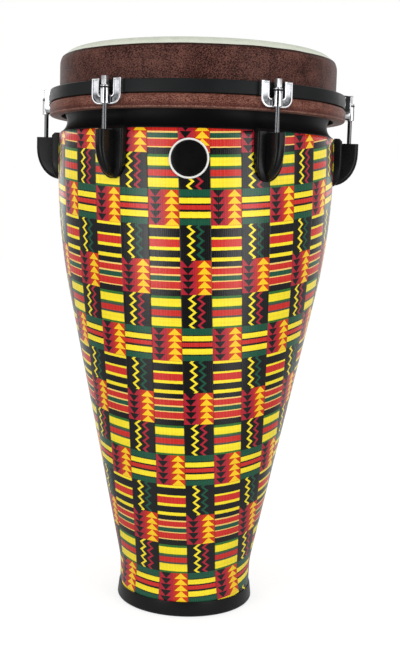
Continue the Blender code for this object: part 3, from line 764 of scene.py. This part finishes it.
rim_half = (BADGE_RADIUS - BADGE_OPENING) / 2
rim_outline = [
    (BADGE_RADIUS, 0),
    *arc((BADGE_OPENING + rim_half, RIM_THICKNESS - rim_half), rim_half, 0, 180, 8),
    (BADGE_OPENING, 0),
]
rim = on_belly(turned(rim_outline, steps=96))
piece("badge_ring", rim, [white_rim], "drum", ["badge_rim"])
plate_edge = BADGE_OPENING - GAP
plate_outline = [
    *[(plate_edge * step / PLATE_RINGS, PLATE_THICKNESS) for step in range(PLATE_RINGS)],
    *[(plate_edge - back, PLATE_THICKNESS - drop) for back, drop in PLATE_BEVEL],
    *[(plate_edge * step / PLATE_RINGS, 0) for step in range(PLATE_RINGS, -1, -1)],
]
plate = on_belly(turned(plate_outline, steps=96, closed=False))
piece("badge_face", plate, [badge_black], "drum", ["badge_plate"])


# Drum head
# A pale synthetic film with a skin-like fibre, drawn over the bearing edge and down inside the collar. It
# is heat formed, its rounded shoulder included, and dulled in the middle, where hands strike it.
HEAD_TOP = 711 * MM
HEAD_SHOULDER = 19 * MM
HEAD_THICKNESS = 1 * MM
FLARE_Z = 650.4 * MM
HEAD_RINGS = 10
STRUCK_FADE = (60 * MM, 150 * MM)
SHOULDER_LIGHT_FADE = (HEAD_TOP - 9 * MM, HEAD_TOP - 2.5 * MM)
HEAD_OUTER = SHOULDER[0] + HEAD_SHOULDER
film, place = new_finish("pale_film", Specular_IOR_Level=0.4)
fibres = place.noise(85, 6, 0.68)
clouds = place.noise(16, 4, 0.6)
threads = place.noise(420, 3, 0.7, (1, 0.25, 1)) * 0.5 + place.noise(420, 3, 0.7, (0.25, 1, 1)) * 0.5
flat_place = place.node("ShaderNodeVectorMath", {"operation": "MULTIPLY"}, {0: place, 1: (1, 1, 0)})
from_middle = flat_place.node("ShaderNodeVectorMath", {"operation": "LENGTH"}, {0: flat_place}, "Value")
shade = fibres * 0.5 + clouds * 0.3 + threads * 0.2
film_colour = shade.ramp(0.35, 0.66).mix(srgb(178, 184, 168), srgb(206, 211, 195))
struck = from_middle.ramp(*STRUCK_FADE, 1, 0) * clouds.ramp(0.35, 0.65, 0.1, 0.4)
film_colour = struck.mix(film_colour, srgb(184, 180, 162))
height = place.axis("Z")
# Painted light: the rounded shoulder, which faces the front, is painted paler than the flat top.
shoulder_light = height.ramp(*SHOULDER_LIGHT_FADE, 0.8, 0)
film_colour = shoulder_light.mix(film_colour, srgb(216, 220, 204))
feed(film, film_colour, shade.ramp(0.35, 0.65, 0.42, 0.58), (threads * 0.5 + fibres).bump(0.08 * MM))
head = turned(
    [
        *[(SHOULDER[0] * step / HEAD_RINGS, HEAD_TOP) for step in range(HEAD_RINGS)],
        *arc(SHOULDER, HEAD_SHOULDER, 90, 0, 16),
        (HEAD_OUTER, FLARE_Z + GAP),
        (HEAD_OUTER - HEAD_THICKNESS, FLARE_Z + GAP),
        *arc(SHOULDER, HEAD_SHOULDER - HEAD_THICKNESS, 0, 90, 16),
        (0, HEAD_TOP - HEAD_THICKNESS),
    ],
    closed=False,
)
piece("stretched_head", head, [film], "head", ["drum_head"])


# Head collar
# Brown leather-like sheet bonded round the film's shoulder, turned out over the flesh hoop, under it and up
# inside. It is grained and mottled, with a thin dark cut edge on top. A highlight is painted along the fold
# at the hem, which also makes the underside paler, and painted shade darkens the band's lower part.
COLLAR_OUTER = 176 * MM
COLLAR_THICKNESS = 1.4 * MM
COLLAR_EDGE_ANGLE = 27.5
COLLAR_FLARE = 5 * MM
BAND_OUTER = 188.3 * MM
BAND_TOP = 645.4 * MM
BAND_BOTTOM = 629.3 * MM
BAND_CORNER = 4.2 * MM
HEM_CORNER = 1.8 * MM
TUCK_INNER = 173.7 * MM
TUCK_TOP = BAND_BOTTOM + 10 * MM
BAND_FADE = (BAND_TOP - 1 * MM, BAND_TOP + 4 * MM)
BAND_SHADE_FADE = (BAND_BOTTOM + 3 * MM, BAND_BOTTOM + 8 * MM)
HEM_HIGHLIGHT_FADE = (BAND_BOTTOM + 1.2 * MM, BAND_BOTTOM + 2.2 * MM)
CUT_EDGE = 1.6 * MM
CUT_EDGE_FADE = 3 * MM
EDGE_WAVE = 0.45 * MM
HEM_WAVE = 0.0012
WAVES = 34
leather, place = new_finish("brown_collar", Specular_IOR_Level=0.09)
height = place.axis("Z")
grain = place.noise(760, 2, 0.6, (0.8, 0.8, 1.1))
mottle = place.noise(48, 4, 0.6)
pores = place.noise(1000, 3, 0.6)
banded = height.ramp(*BAND_FADE, 1, 0)
tone = mottle * 0.2 + grain * 0.5 + pores * 0.3
light = tone.ramp(0.44, 0.57)
brown = light.mix(srgb(42, 20, 17), srgb(106, 68, 59))
band_brown = light.mix(srgb(78, 39, 31), srgb(138, 91, 77))
# Painted shade: the lower part of the turned band darkens to a deep red, as if shaded under its bulge.
band_shade = height.ramp(*BAND_SHADE_FADE, 0.6, 0)
band_brown = band_shade.mix(band_brown, srgb(66, 26, 24))
# Painted highlight: below the hem's fold the colour turns paler, along the fold and over the underside.
hem = height.ramp(*HEM_HIGHLIGHT_FADE, 0.75, 0)
band_brown = hem.mix(band_brown, light.mix(srgb(112, 74, 62), srgb(168, 128, 114)))
brown = banded.mix(brown, band_brown)
pale_specks = pores.ramp(0.62, 0.74) * mottle.ramp(0.45, 0.7)
brown = (pale_specks * 0.6).mix(brown, srgb(150, 122, 104))
collar_top = SHOULDER[1] + (COLLAR_OUTER - SHOULDER[0]) * math.sin(math.radians(COLLAR_EDGE_ANGLE))
cut_edge = height.ramp(collar_top - CUT_EDGE_FADE, collar_top - CUT_EDGE)
brown = (cut_edge * 0.75).mix(brown, srgb(34, 24, 22))
feed(leather, brown, tone.ramp(0.3, 0.7, 0.4, 0.54), (tone + pores * 0.5).bump(0.25 * MM))
flare = (COLLAR_OUTER + COLLAR_FLARE, FLARE_Z)
upper = (BAND_OUTER - BAND_CORNER, BAND_TOP - BAND_CORNER)
lower = (BAND_OUTER - HEM_CORNER, BAND_BOTTOM + HEM_CORNER)
collar_inner = COLLAR_OUTER - COLLAR_THICKNESS - SHOULDER[0]
collar = turned(
    [
        *arc(SHOULDER, COLLAR_OUTER - SHOULDER[0], COLLAR_EDGE_ANGLE, 0, 10),
        *arc(flare, COLLAR_FLARE, 180, 270, 8),
        *arc(upper, BAND_CORNER, 90, 0, 6),
        *arc(lower, HEM_CORNER, 0, -90, 6),
        (TUCK_INNER, BAND_BOTTOM),
        (TUCK_INNER, TUCK_TOP),
        (COLLAR_OUTER + COLLAR_THICKNESS, TUCK_TOP),
        (COLLAR_OUTER + COLLAR_THICKNESS, BAND_BOTTOM + COLLAR_THICKNESS),
        *arc(lower, HEM_CORNER - COLLAR_THICKNESS, -90, 0, 6),
        *arc(upper, BAND_CORNER - COLLAR_THICKNESS, 0, 90, 6),
        *arc(flare, COLLAR_FLARE + COLLAR_THICKNESS, 270, 180, 8),
        *arc(SHOULDER, collar_inner, 0, COLLAR_EDGE_ANGLE, 10),
    ],
    steps=240,
)
for corner in collar.verts:
    unevenness = noise.noise(corner.co * WAVES)
    if corner.co.z > collar_top - CUT_EDGE:
        corner.co.z += EDGE_WAVE * unevenness
    elif corner.co.z < BAND_TOP:
        corner.co.xy *= 1 + HEM_WAVE * min(unevenness, 0)
piece("leather_collar", collar, [leather], "head", ["head_collar"])


# Flesh hoop
# A plain aluminium ring inside the collar's turned edge, rolled from bar and butt welded. The hoop bears
# down on it through the collar, which hides it, so its solid stays and only gets its finish.
aluminium, place = new_finish("rolled_aluminium", Metallic=1.0)
rolled_marks = place.noise(240, 4, 0.6, (0.3, 0.3, 3))
feed(
    aluminium,
    rolled_marks.mix(srgb(178, 179, 181), srgb(206, 207, 208)),
    rolled_marks.ramp(0.3, 0.7, 0.3, 0.46),
    rolled_marks.bump(0.03 * MM),
)
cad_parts["flesh_hoop"].data.materials.clear()
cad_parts["flesh_hoop"].data.materials.append(aluminium)


# Counter hoop
# A flat steel band, rolled and welded, that the claws draw down on the collar's turned edge. It is satin
# black powder coat.
HOOP_OUTER = 188 * MM
HOOP_INNER = 181.5 * MM
HOOP_TOP = 661 * MM
HOOP_BOTTOM = 645.7 * MM
HOOP_EDGE = 1.2 * MM
powder, place = new_finish("powder_black", Specular_IOR_Level=0.12)
peel = place.noise(800, 2)
patchy = place.noise(28, 4)
feed(
    powder,
    patchy.mix(srgb(24, 25, 26), srgb(32, 33, 34)),
    patchy.ramp(0.3, 0.7, 0.36, 0.5),
    peel.bump(0.07 * MM),
)
hoop = turned(
    [
        *arc((HOOP_OUTER - HOOP_EDGE, HOOP_BOTTOM + HOOP_EDGE), HOOP_EDGE, -90, 0, 5),
        *arc((HOOP_OUTER - HOOP_EDGE, HOOP_TOP - HOOP_EDGE), HOOP_EDGE, 0, 90, 5),
        *arc((HOOP_INNER + HOOP_EDGE, HOOP_TOP - HOOP_EDGE), HOOP_EDGE, 90, 180, 5),
        (HOOP_INNER, HOOP_BOTTOM),
    ]
)
piece("steel_hoop", hoop, [powder], "head", ["counter_hoop"])


# Claws
# Six U-shaped castings whose arms hook over the hoop, with a boss between the arms that the rod passes
# through. They are die cast with a raised rim, polished and chrome plated.
CLAW_WIDTH = 41 * MM
CLAW_ARM = 10.5 * MM
CLAW_CORNER = 11 * MM
CLAW_WEB = 10.5 * MM
CLAW_TOP = 663.3 * MM
CLAW_BOTTOM = 632.3 * MM
CLAW_FRONT = 194.2 * MM
CLAW_INNER = 188.6 * MM
HOOK_REACH = 182 * MM
BOSS_RADIUS = 5.4 * MM
BOSS_TOP = 650.7 * MM
BOSS_BOTTOM = 633.1 * MM
BOSS_EDGE = 0.6 * MM
CLAW_RIM = 1.8 * MM
CLAW_RELIEF = 1.6 * MM
RELIEF_DRAFT = 0.5 * MM
# Heights over which the painted shade on a claw's sunk face fades out.
HOLLOW_SHADE_FADE = (CLAW_BOTTOM + 10 * MM, CLAW_BOTTOM + 17 * MM)
FACING = 0.9
CLAW_EDGE = 0.7 * MM
SLOT_CORNER = 2 * MM
HOOK_SLOPE = 1.5 * MM
chrome, place = new_finish("polished_chrome", Metallic=1.0)
ripple = place.noise(60, 3)
smear = place.noise(260, 4)
feed(
    chrome,
    smear.mix(srgb(218, 219, 222), srgb(236, 236, 238)),
    smear.ramp(0.3, 0.7, 0.06, 0.13),
    (ripple + smear * 0.1).bump(0.25 * MM),
)
# The sunk faces' finish: duller chrome, darkened low down by painted shade.
dull_chrome_painted_shade, place = new_finish("dull_chrome_painted_shade", Metallic=1.0)
height = place.axis("Z")
smear = place.noise(190, 4)
# Painted shade: low on the sunk face, beside the boss, the colour falls to dark grey as if in shadow.
hollow_shade = height.ramp(*HOLLOW_SHADE_FADE, 1, 0) * smear.ramp(0.3, 0.6, 0.7, 1)
feed(
    dull_chrome_painted_shade,
    hollow_shade.mix(srgb(206, 207, 210), srgb(74, 76, 78)),
    smear.ramp(0.3, 0.7, 0.12, 0.22),
    smear.bump(0.03 * MM),
)
half = CLAW_WIDTH / 2
slot = half - CLAW_ARM
corner_z = CLAW_BOTTOM + CLAW_CORNER
slot_z = CLAW_BOTTOM + CLAW_WEB + SLOT_CORNER
front_view = [
    (-half, CLAW_TOP),
    *arc((CLAW_CORNER - half, corner_z), CLAW_CORNER, 180, 270, 10),
    *arc((half - CLAW_CORNER, corner_z), CLAW_CORNER, 270, 360, 10),
    (half, CLAW_TOP),
    (slot, CLAW_TOP),
    *arc((slot - SLOT_CORNER, slot_z), SLOT_CORNER, 0, -90, 4),
    *arc((SLOT_CORNER - slot, slot_z), SLOT_CORNER, -90, -180, 4),
    (-slot, CLAW_TOP),
]
front_corners = [(across, -CLAW_FRONT, height) for across, height in front_view]
claw = slab(front_corners, (0, CLAW_FRONT - HOOK_REACH, 0))
for corner in claw.verts:
    if corner.co.z > CLAW_TOP - GAP and corner.co.y < -CLAW_INNER:
        corner.co.z -= HOOK_SLOPE
front = min(claw.faces, key=lambda side: side.calc_center_median().y)
outer_edges = list(front.edges)
for inset, depth in ((CLAW_RIM, 0), (RELIEF_DRAFT, -CLAW_RELIEF)):
    bmesh.ops.inset_region(claw, faces=[front], thickness=inset, depth=depth, use_even_offset=True)
round_edges(claw, outer_edges, CLAW_EDGE, 3)
boss = turned(
    [
        (0, BOSS_TOP),
        *arc((BOSS_RADIUS - BOSS_EDGE, BOSS_TOP - BOSS_EDGE), BOSS_EDGE, 90, 0, 4),
        *arc((BOSS_RADIUS - BOSS_EDGE, BOSS_BOTTOM + BOSS_EDGE), BOSS_EDGE, 0, -90, 4),
        (0, BOSS_BOTTOM),
    ],
    steps=48,
    closed=False,
)
claw = carved(
    claw,
    [on_rod(boss)],
    [
        cylinder(CLAW_INNER, CLAW_BOTTOM - CUT_SPARE, HOOP_TOP + GAP, 180),
        on_rod(cylinder(ROD_HOLE, CLAW_BOTTOM - CUT_SPARE, CLAW_TOP)),
    ],
)
for face in claw.faces:
    sunk = face.calc_center_median().y > CLAW_RELIEF / 2 - CLAW_FRONT
    face.material_index = int(sunk and face.normal.y < -FACING)
for number, angle in enumerate(STATIONS, start=1):
    hooked = at_station(claw, angle)
    piece(f"chrome_claw_{number}", hooked, [chrome, dull_chrome_painted_shade], "head", [f"claw_{number}"])


# Rod washers
# Black nylon washers, moulded, loose between each rod's flange and its claw's boss. They let the rod turn
# smoothly and keep it from working loose.
WASHER_RADIUS = 5.4 * MM
WASHER_BOTTOM = 651 * MM
WASHER_TOP = 652 * MM
WASHER_EDGE = 0.25 * MM
nylon, place = new_finish("black_nylon", Specular_IOR_Level=0.3)
haze = place.noise(300, 3)
feed(
    nylon,
    haze.mix(srgb(14, 14, 15), srgb(24, 24, 25)),
    haze.ramp(0.3, 0.7, 0.45, 0.6),
    haze.bump(0.02 * MM),
)
washer = on_rod(
    turned(
        [
            (ROD_HOLE, WASHER_BOTTOM),
            (WASHER_RADIUS, WASHER_BOTTOM),
            *arc((WASHER_RADIUS - WASHER_EDGE, WASHER_TOP - WASHER_EDGE), WASHER_EDGE, 0, 90, 3),
            (ROD_HOLE, WASHER_TOP),
        ],
        steps=48,
    )
)
for number, angle in enumerate(STATIONS, start=1):
    name = f"rod_washer_{number}"
    piece(f"nylon_{name}", at_station(washer, angle), [nylon], "head", [name])


# Tension rods
# Steel rods with a rolled thread, a flange and a square head for the drum key. They pass down through the
# claws and screw into the lugs, and are bright zinc plated.
FLANGE_RADIUS = 5.1 * MM
FLANGE_BOTTOM = 652.3 * MM
FLANGE_TOP = 653.8 * MM
KEY_SQUARE = 6.35 * MM
KEY_TOP = 664.3 * MM
KEY_CORNER = 0.4 * MM
KEY_CHAMFER = 0.7 * MM
ROD_BOTTOM = 582 * MM
ROD_POINT = 1 * MM
THREAD_TOP = 603 * MM
THREAD_DEPTH = 0.4 * MM
THREAD_PITCH = 25.4 / 24 * MM
THREAD_STEPS = 24
KEY_NECK = 0.8 * MM
KEY_SUNK = 1 * MM
FLANGE_DOME = [(1 * MM, 0.1 * MM), (0.2 * MM, 0), (0, -0.3 * MM)]  # in from the edge, up from the top
THREAD_RUNOUT = 0.5 * MM
CREST_BELOW = 0.02 * MM
TOOTH = [(0, 0), (1, 0.38), (1, 0.5), (0, 0.88), (0, 1)]  # share of the depth, share of the pitch
rod_steel, place = new_finish("rod_steel", Metallic=1.0)
drawn = place.noise(160, 3, 0.5, (1, 1, 0.1))
height = place.axis("Z")
headed = height.ramp(FLANGE_BOTTOM - 1 * MM, FLANGE_BOTTOM)
feed(
    rod_steel,
    headed.mix(drawn.mix(srgb(112, 113, 115), srgb(130, 131, 133)), srgb(226, 227, 229)),
    drawn.ramp(0.3, 0.7, 0.24, 0.3) + headed * 0.1,
)
square = bmesh.new()
bmesh.ops.create_cube(square, size=1)
key_foot = FLANGE_TOP + KEY_NECK
bmesh.ops.scale(square, vec=(KEY_SQUARE, KEY_SQUARE, KEY_TOP - key_foot), verts=square.verts)
bmesh.ops.translate(square, vec=(0, 0, (KEY_TOP + key_foot) / 2), verts=square.verts)
upright_edges = [link for link in square.edges if link.calc_length() > KEY_SQUARE + GAP]
round_edges(square, upright_edges, KEY_CORNER, 2)
top_face = max(square.faces, key=lambda side: side.calc_center_median().z)
round_edges(square, list(top_face.edges), KEY_CHAMFER, 2)
shank = turned(
    [
        (0, key_foot + KEY_SUNK),
        (ROD_RADIUS, key_foot + KEY_SUNK),
        (ROD_RADIUS, FLANGE_TOP + FLANGE_DOME[0][1]),
        *[(FLANGE_RADIUS - back, FLANGE_TOP + rise) for back, rise in FLANGE_DOME],
        (FLANGE_RADIUS, FLANGE_BOTTOM),
        (ROD_RADIUS, FLANGE_BOTTOM),
        (ROD_RADIUS, THREAD_TOP + THREAD_RUNOUT),
        (ROD_RADIUS - THREAD_DEPTH, THREAD_TOP),
        (ROD_RADIUS - THREAD_DEPTH, ROD_BOTTOM + ROD_POINT),
        (ROD_RADIUS - ROD_POINT, ROD_BOTTOM),
        (0, ROD_BOTTOM),
    ],
    steps=40,
    closed=False,
)
tooth = bmesh.new()
root = ROD_RADIUS - CREST_BELOW - THREAD_DEPTH
start = ROD_BOTTOM + ROD_POINT
tooth_points = [
    tooth.verts.new((0, -root - THREAD_DEPTH * out, start + THREAD_PITCH * up)) for out, up in TOOTH
]
tooth_edges = [tooth.edges.new(pair) for pair in zip(tooth_points, tooth_points[1:])]
turns = int((THREAD_TOP - start) / THREAD_PITCH) - 1
bmesh.ops.spin(
    tooth,
    geom=tooth_points + tooth_edges,
    cent=(0, 0, 0),
    axis=(0, 0, 1),
    dvec=(0, 0, THREAD_PITCH / THREAD_STEPS),
    angle=math.tau * turns,
    steps=THREAD_STEPS * turns,
)
bmesh.ops.remove_doubles(tooth, verts=tooth.verts, dist=TOUCHING)
bmesh.ops.recalc_face_normals(tooth, faces=tooth.faces)
rod_mesh = bpy.data.meshes.new("rod")
rod = bmesh.new()
for part in (square, shank, tooth):
    part.to_mesh(rod_mesh)
    part.free()
    rod.from_mesh(rod_mesh)
on_rod(rod)
for number, angle in enumerate(STATIONS, start=1):
    name = f"tension_rod_{number}"
    piece(f"steel_{name}", at_station(rod, angle), [rod_steel], f"rod_{number}", [name])


# Floor, light and camera
# A white studio sweep with two tall soft boxes in front, weaker ones behind and above, small cards at the
# sides and a low fill for the foot. The drum mirrors a dim room in front of it, white behind it, and pools
# of light painted on the floor under the front boxes. The camera stands a little above the drum's middle.
FLOOR_SIZE = 8
FLOOR_BOUNCE = 0.4
FLOOR_GLOW = 0.69
AMBIENT = 0.78
LEFT_BOX = -32
RIGHT_BOX = 42
MIRRORED_BOUNCE = 0.1
MIRRORED_FRONT = 0.03
MIRRORED_SIDES = 0.3
MIRRORED_NEAR = 0.55
MIRRORED_POOL = 1.6
NEAR_REACH = (0.17, 0.55)
POOL_REACH = (0.2, 1)
POOL_HALF_ANGLE = (0.17, 0.36)
FRONT_FADE = (0.75, 0.96)
BACK_FADE = (-0.9, -0.3)
OVERHEAD_FADE = 0.02


def seen_rays(value):
    """1 where the camera sees a thing straight, and 1 where it sees it mirrored or through glass."""
    straight = value.node("ShaderNodeLightPath", output="Is Camera Ray")
    glossy = straight.other("Is Glossy Ray")
    return straight, straight.maths("MAXIMUM", glossy, straight.other("Is Transmission Ray"))


def mirrored_studio(east, north):
    """Light that the drum mirrors from a bearing: dim in front, by the camera, and white behind."""
    span = (east * east + north * north + OVERHEAD_FADE).take("SQRT")
    ahead = north * -1 / span
    front = ahead.ramp(*FRONT_FADE, MIRRORED_SIDES, MIRRORED_FRONT)
    return front + ahead.ramp(*BACK_FADE, 1 - MIRRORED_SIDES, 0)


floor = bmesh.new()
bmesh.ops.create_grid(floor, x_segments=1, y_segments=1, size=FLOOR_SIZE)
floor_mesh = bpy.data.meshes.new("studio_floor")
floor.to_mesh(floor_mesh)
floor.free()
floor_sockets = {"Roughness": 0.95, "Specular_IOR_Level": 0.0, "Emission_Strength": FLOOR_GLOW}
pale_floor, place = new_finish("pale_floor", **floor_sockets)
straight, mirrored = seen_rays(place)
east = place.axis("X")
north = place.axis("Y")
reach = (east * east + north * north).take("SQRT")
bearing = east.maths("ARCTAN2", east, north * -1)
# Painted light: seen mirrored, the floor glows in pools under the front boxes and brighter round the foot.
off_boxes = [abs(bearing - math.radians(turn)) for turn in (LEFT_BOX, RIGHT_BOX)]
pools = sum(off.ramp(*POOL_HALF_ANGLE, 1, 0) for off in off_boxes)
mirror_level = mirrored_studio(east, north) + pools * reach.ramp(*POOL_REACH, 0, MIRRORED_POOL)
near = reach.ramp(*NEAR_REACH, 1, 0)
glow = straight + mirrored * (mirror_level + near * (MIRRORED_NEAR - mirror_level))
bounce = FLOOR_BOUNCE - mirrored * (FLOOR_BOUNCE - MIRRORED_BOUNCE)
floor_shader = pale_floor.node_tree.nodes["Principled BSDF"].inputs
pale_floor.node_tree.links.new(bounce.socket, floor_shader["Base Color"])
pale_floor.node_tree.links.new(glow.socket, floor_shader["Emission Color"])
pale_floor.cycles.emission_sampling = "NONE"
floor_mesh.materials.append(pale_floor)
studio_floor = bpy.data.objects.new("studio_floor", floor_mesh)
bpy.context.scene.collection.objects.link(studio_floor)

world = bpy.data.worlds.new("studio")
world.use_nodes = True
bpy.context.scene.world = world
backdrop = world.node_tree.nodes["Background"].inputs
backdrop["Color"].default_value = (1, 1, 1, 1)
straight, mirrored = seen_rays(Value(world.node_tree, None))
toward = straight.node("ShaderNodeTexCoord", output="Generated")
mirror_level = mirrored_studio(toward.axis("X"), toward.axis("Y"))
strength = AMBIENT + straight * (1 - AMBIENT) + mirrored * (mirror_level - AMBIENT)
world.node_tree.links.new(strength.socket, backdrop["Strength"])
world.cycles.sampling_method = "NONE"

# Each lamp: bearing in degrees from the front, distance, height, height it is aimed at, size, and watts.
LAMPS = {
    "left_soft_box": (LEFT_BOX, 1.15, 0.78, 0.78, (0.46, 1.5), 4.3),
    "right_soft_box": (RIGHT_BOX, 1.15, 0.78, 0.78, (0.46, 1.5), 4.1),
    "left_back_box": (-140, 1.9, 1.1, 0.4, (0.5, 1.6), 2.5),
    "right_back_box": (140, 1.9, 1.1, 0.4, (0.5, 1.6), 2),
    "top_soft_box": (0, 0.01, 2.3, 0.4, (1.2, 1.2), 1.6),
    "left_card": (-70, 1, 0.7, 0.62, (0.45, 0.3), 0.5),
    "right_card": (64, 1, 0.7, 0.62, (0.45, 0.3), 0.5),
    "low_fill": (3, 0.6, 0.1, 0.12, (1, 0.14), 0.45),
}
for name, (turn, away, height, aimed_at, size, watts) in LAMPS.items():
    lamp = bpy.data.lights.new(name, "AREA")
    lamp.shape = "RECTANGLE"
    lamp.size, lamp.size_y = size
    lamp.energy = watts
    box = bpy.data.objects.new(name, lamp)
    turn = math.radians(turn)
    box.location = (away * math.sin(turn), -away * math.cos(turn), height)
    toward_drum = Vector((0, 0, aimed_at)) - box.location
    box.rotation_euler = toward_drum.to_track_quat("-Z", "Y").to_euler()
    box.visible_camera = False
    box.visible_glossy = name != "low_fill"
    bpy.context.scene.collection.objects.link(box)

# The lens is measured in pixels of the frame. Its axis meets the frame at LENS_CENTRE from the left.
FRAME_WIDTH = 400
FRAME_HEIGHT = 655
LENS_PIXELS = 1064.14
LENS_CENTRE = 176
SENSOR = 36
CAMERA_AWAY = 1392.47 * MM
CAMERA_HEIGHT = 518.75 * MM
CAMERA_BEARING = math.radians(2.534)
PITCH = math.radians(6.476)
ROLL = math.radians(1.48)
YAW = math.radians(-0.825)
lens = bpy.data.cameras.new("camera")
lens.sensor_width = SENSOR
lens.lens = LENS_PIXELS / FRAME_HEIGHT * SENSOR
lens.shift_x = (FRAME_WIDTH / 2 - LENS_CENTRE) / FRAME_HEIGHT
camera = bpy.data.objects.new("camera", lens)
aim = Vector((math.sin(YAW) * math.cos(PITCH), math.cos(YAW) * math.cos(PITCH), -math.sin(PITCH)))
level = aim.cross((0, 0, 1)).normalized()
upright = level.cross(aim)
right = math.cos(ROLL) * level + math.sin(ROLL) * upright
top = math.cos(ROLL) * upright - math.sin(ROLL) * level
facing = Matrix((right, top, -aim)).transposed().to_4x4()
stand = Matrix.Rotation(CAMERA_BEARING, 4, "Z") @ Matrix.Translation((0, -CAMERA_AWAY, CAMERA_HEIGHT))
camera.matrix_world = stand @ facing
bpy.context.scene.collection.objects.link(camera)
bpy.context.scene.camera = camera
bpy.context.scene.view_settings.view_transform = "Standard"
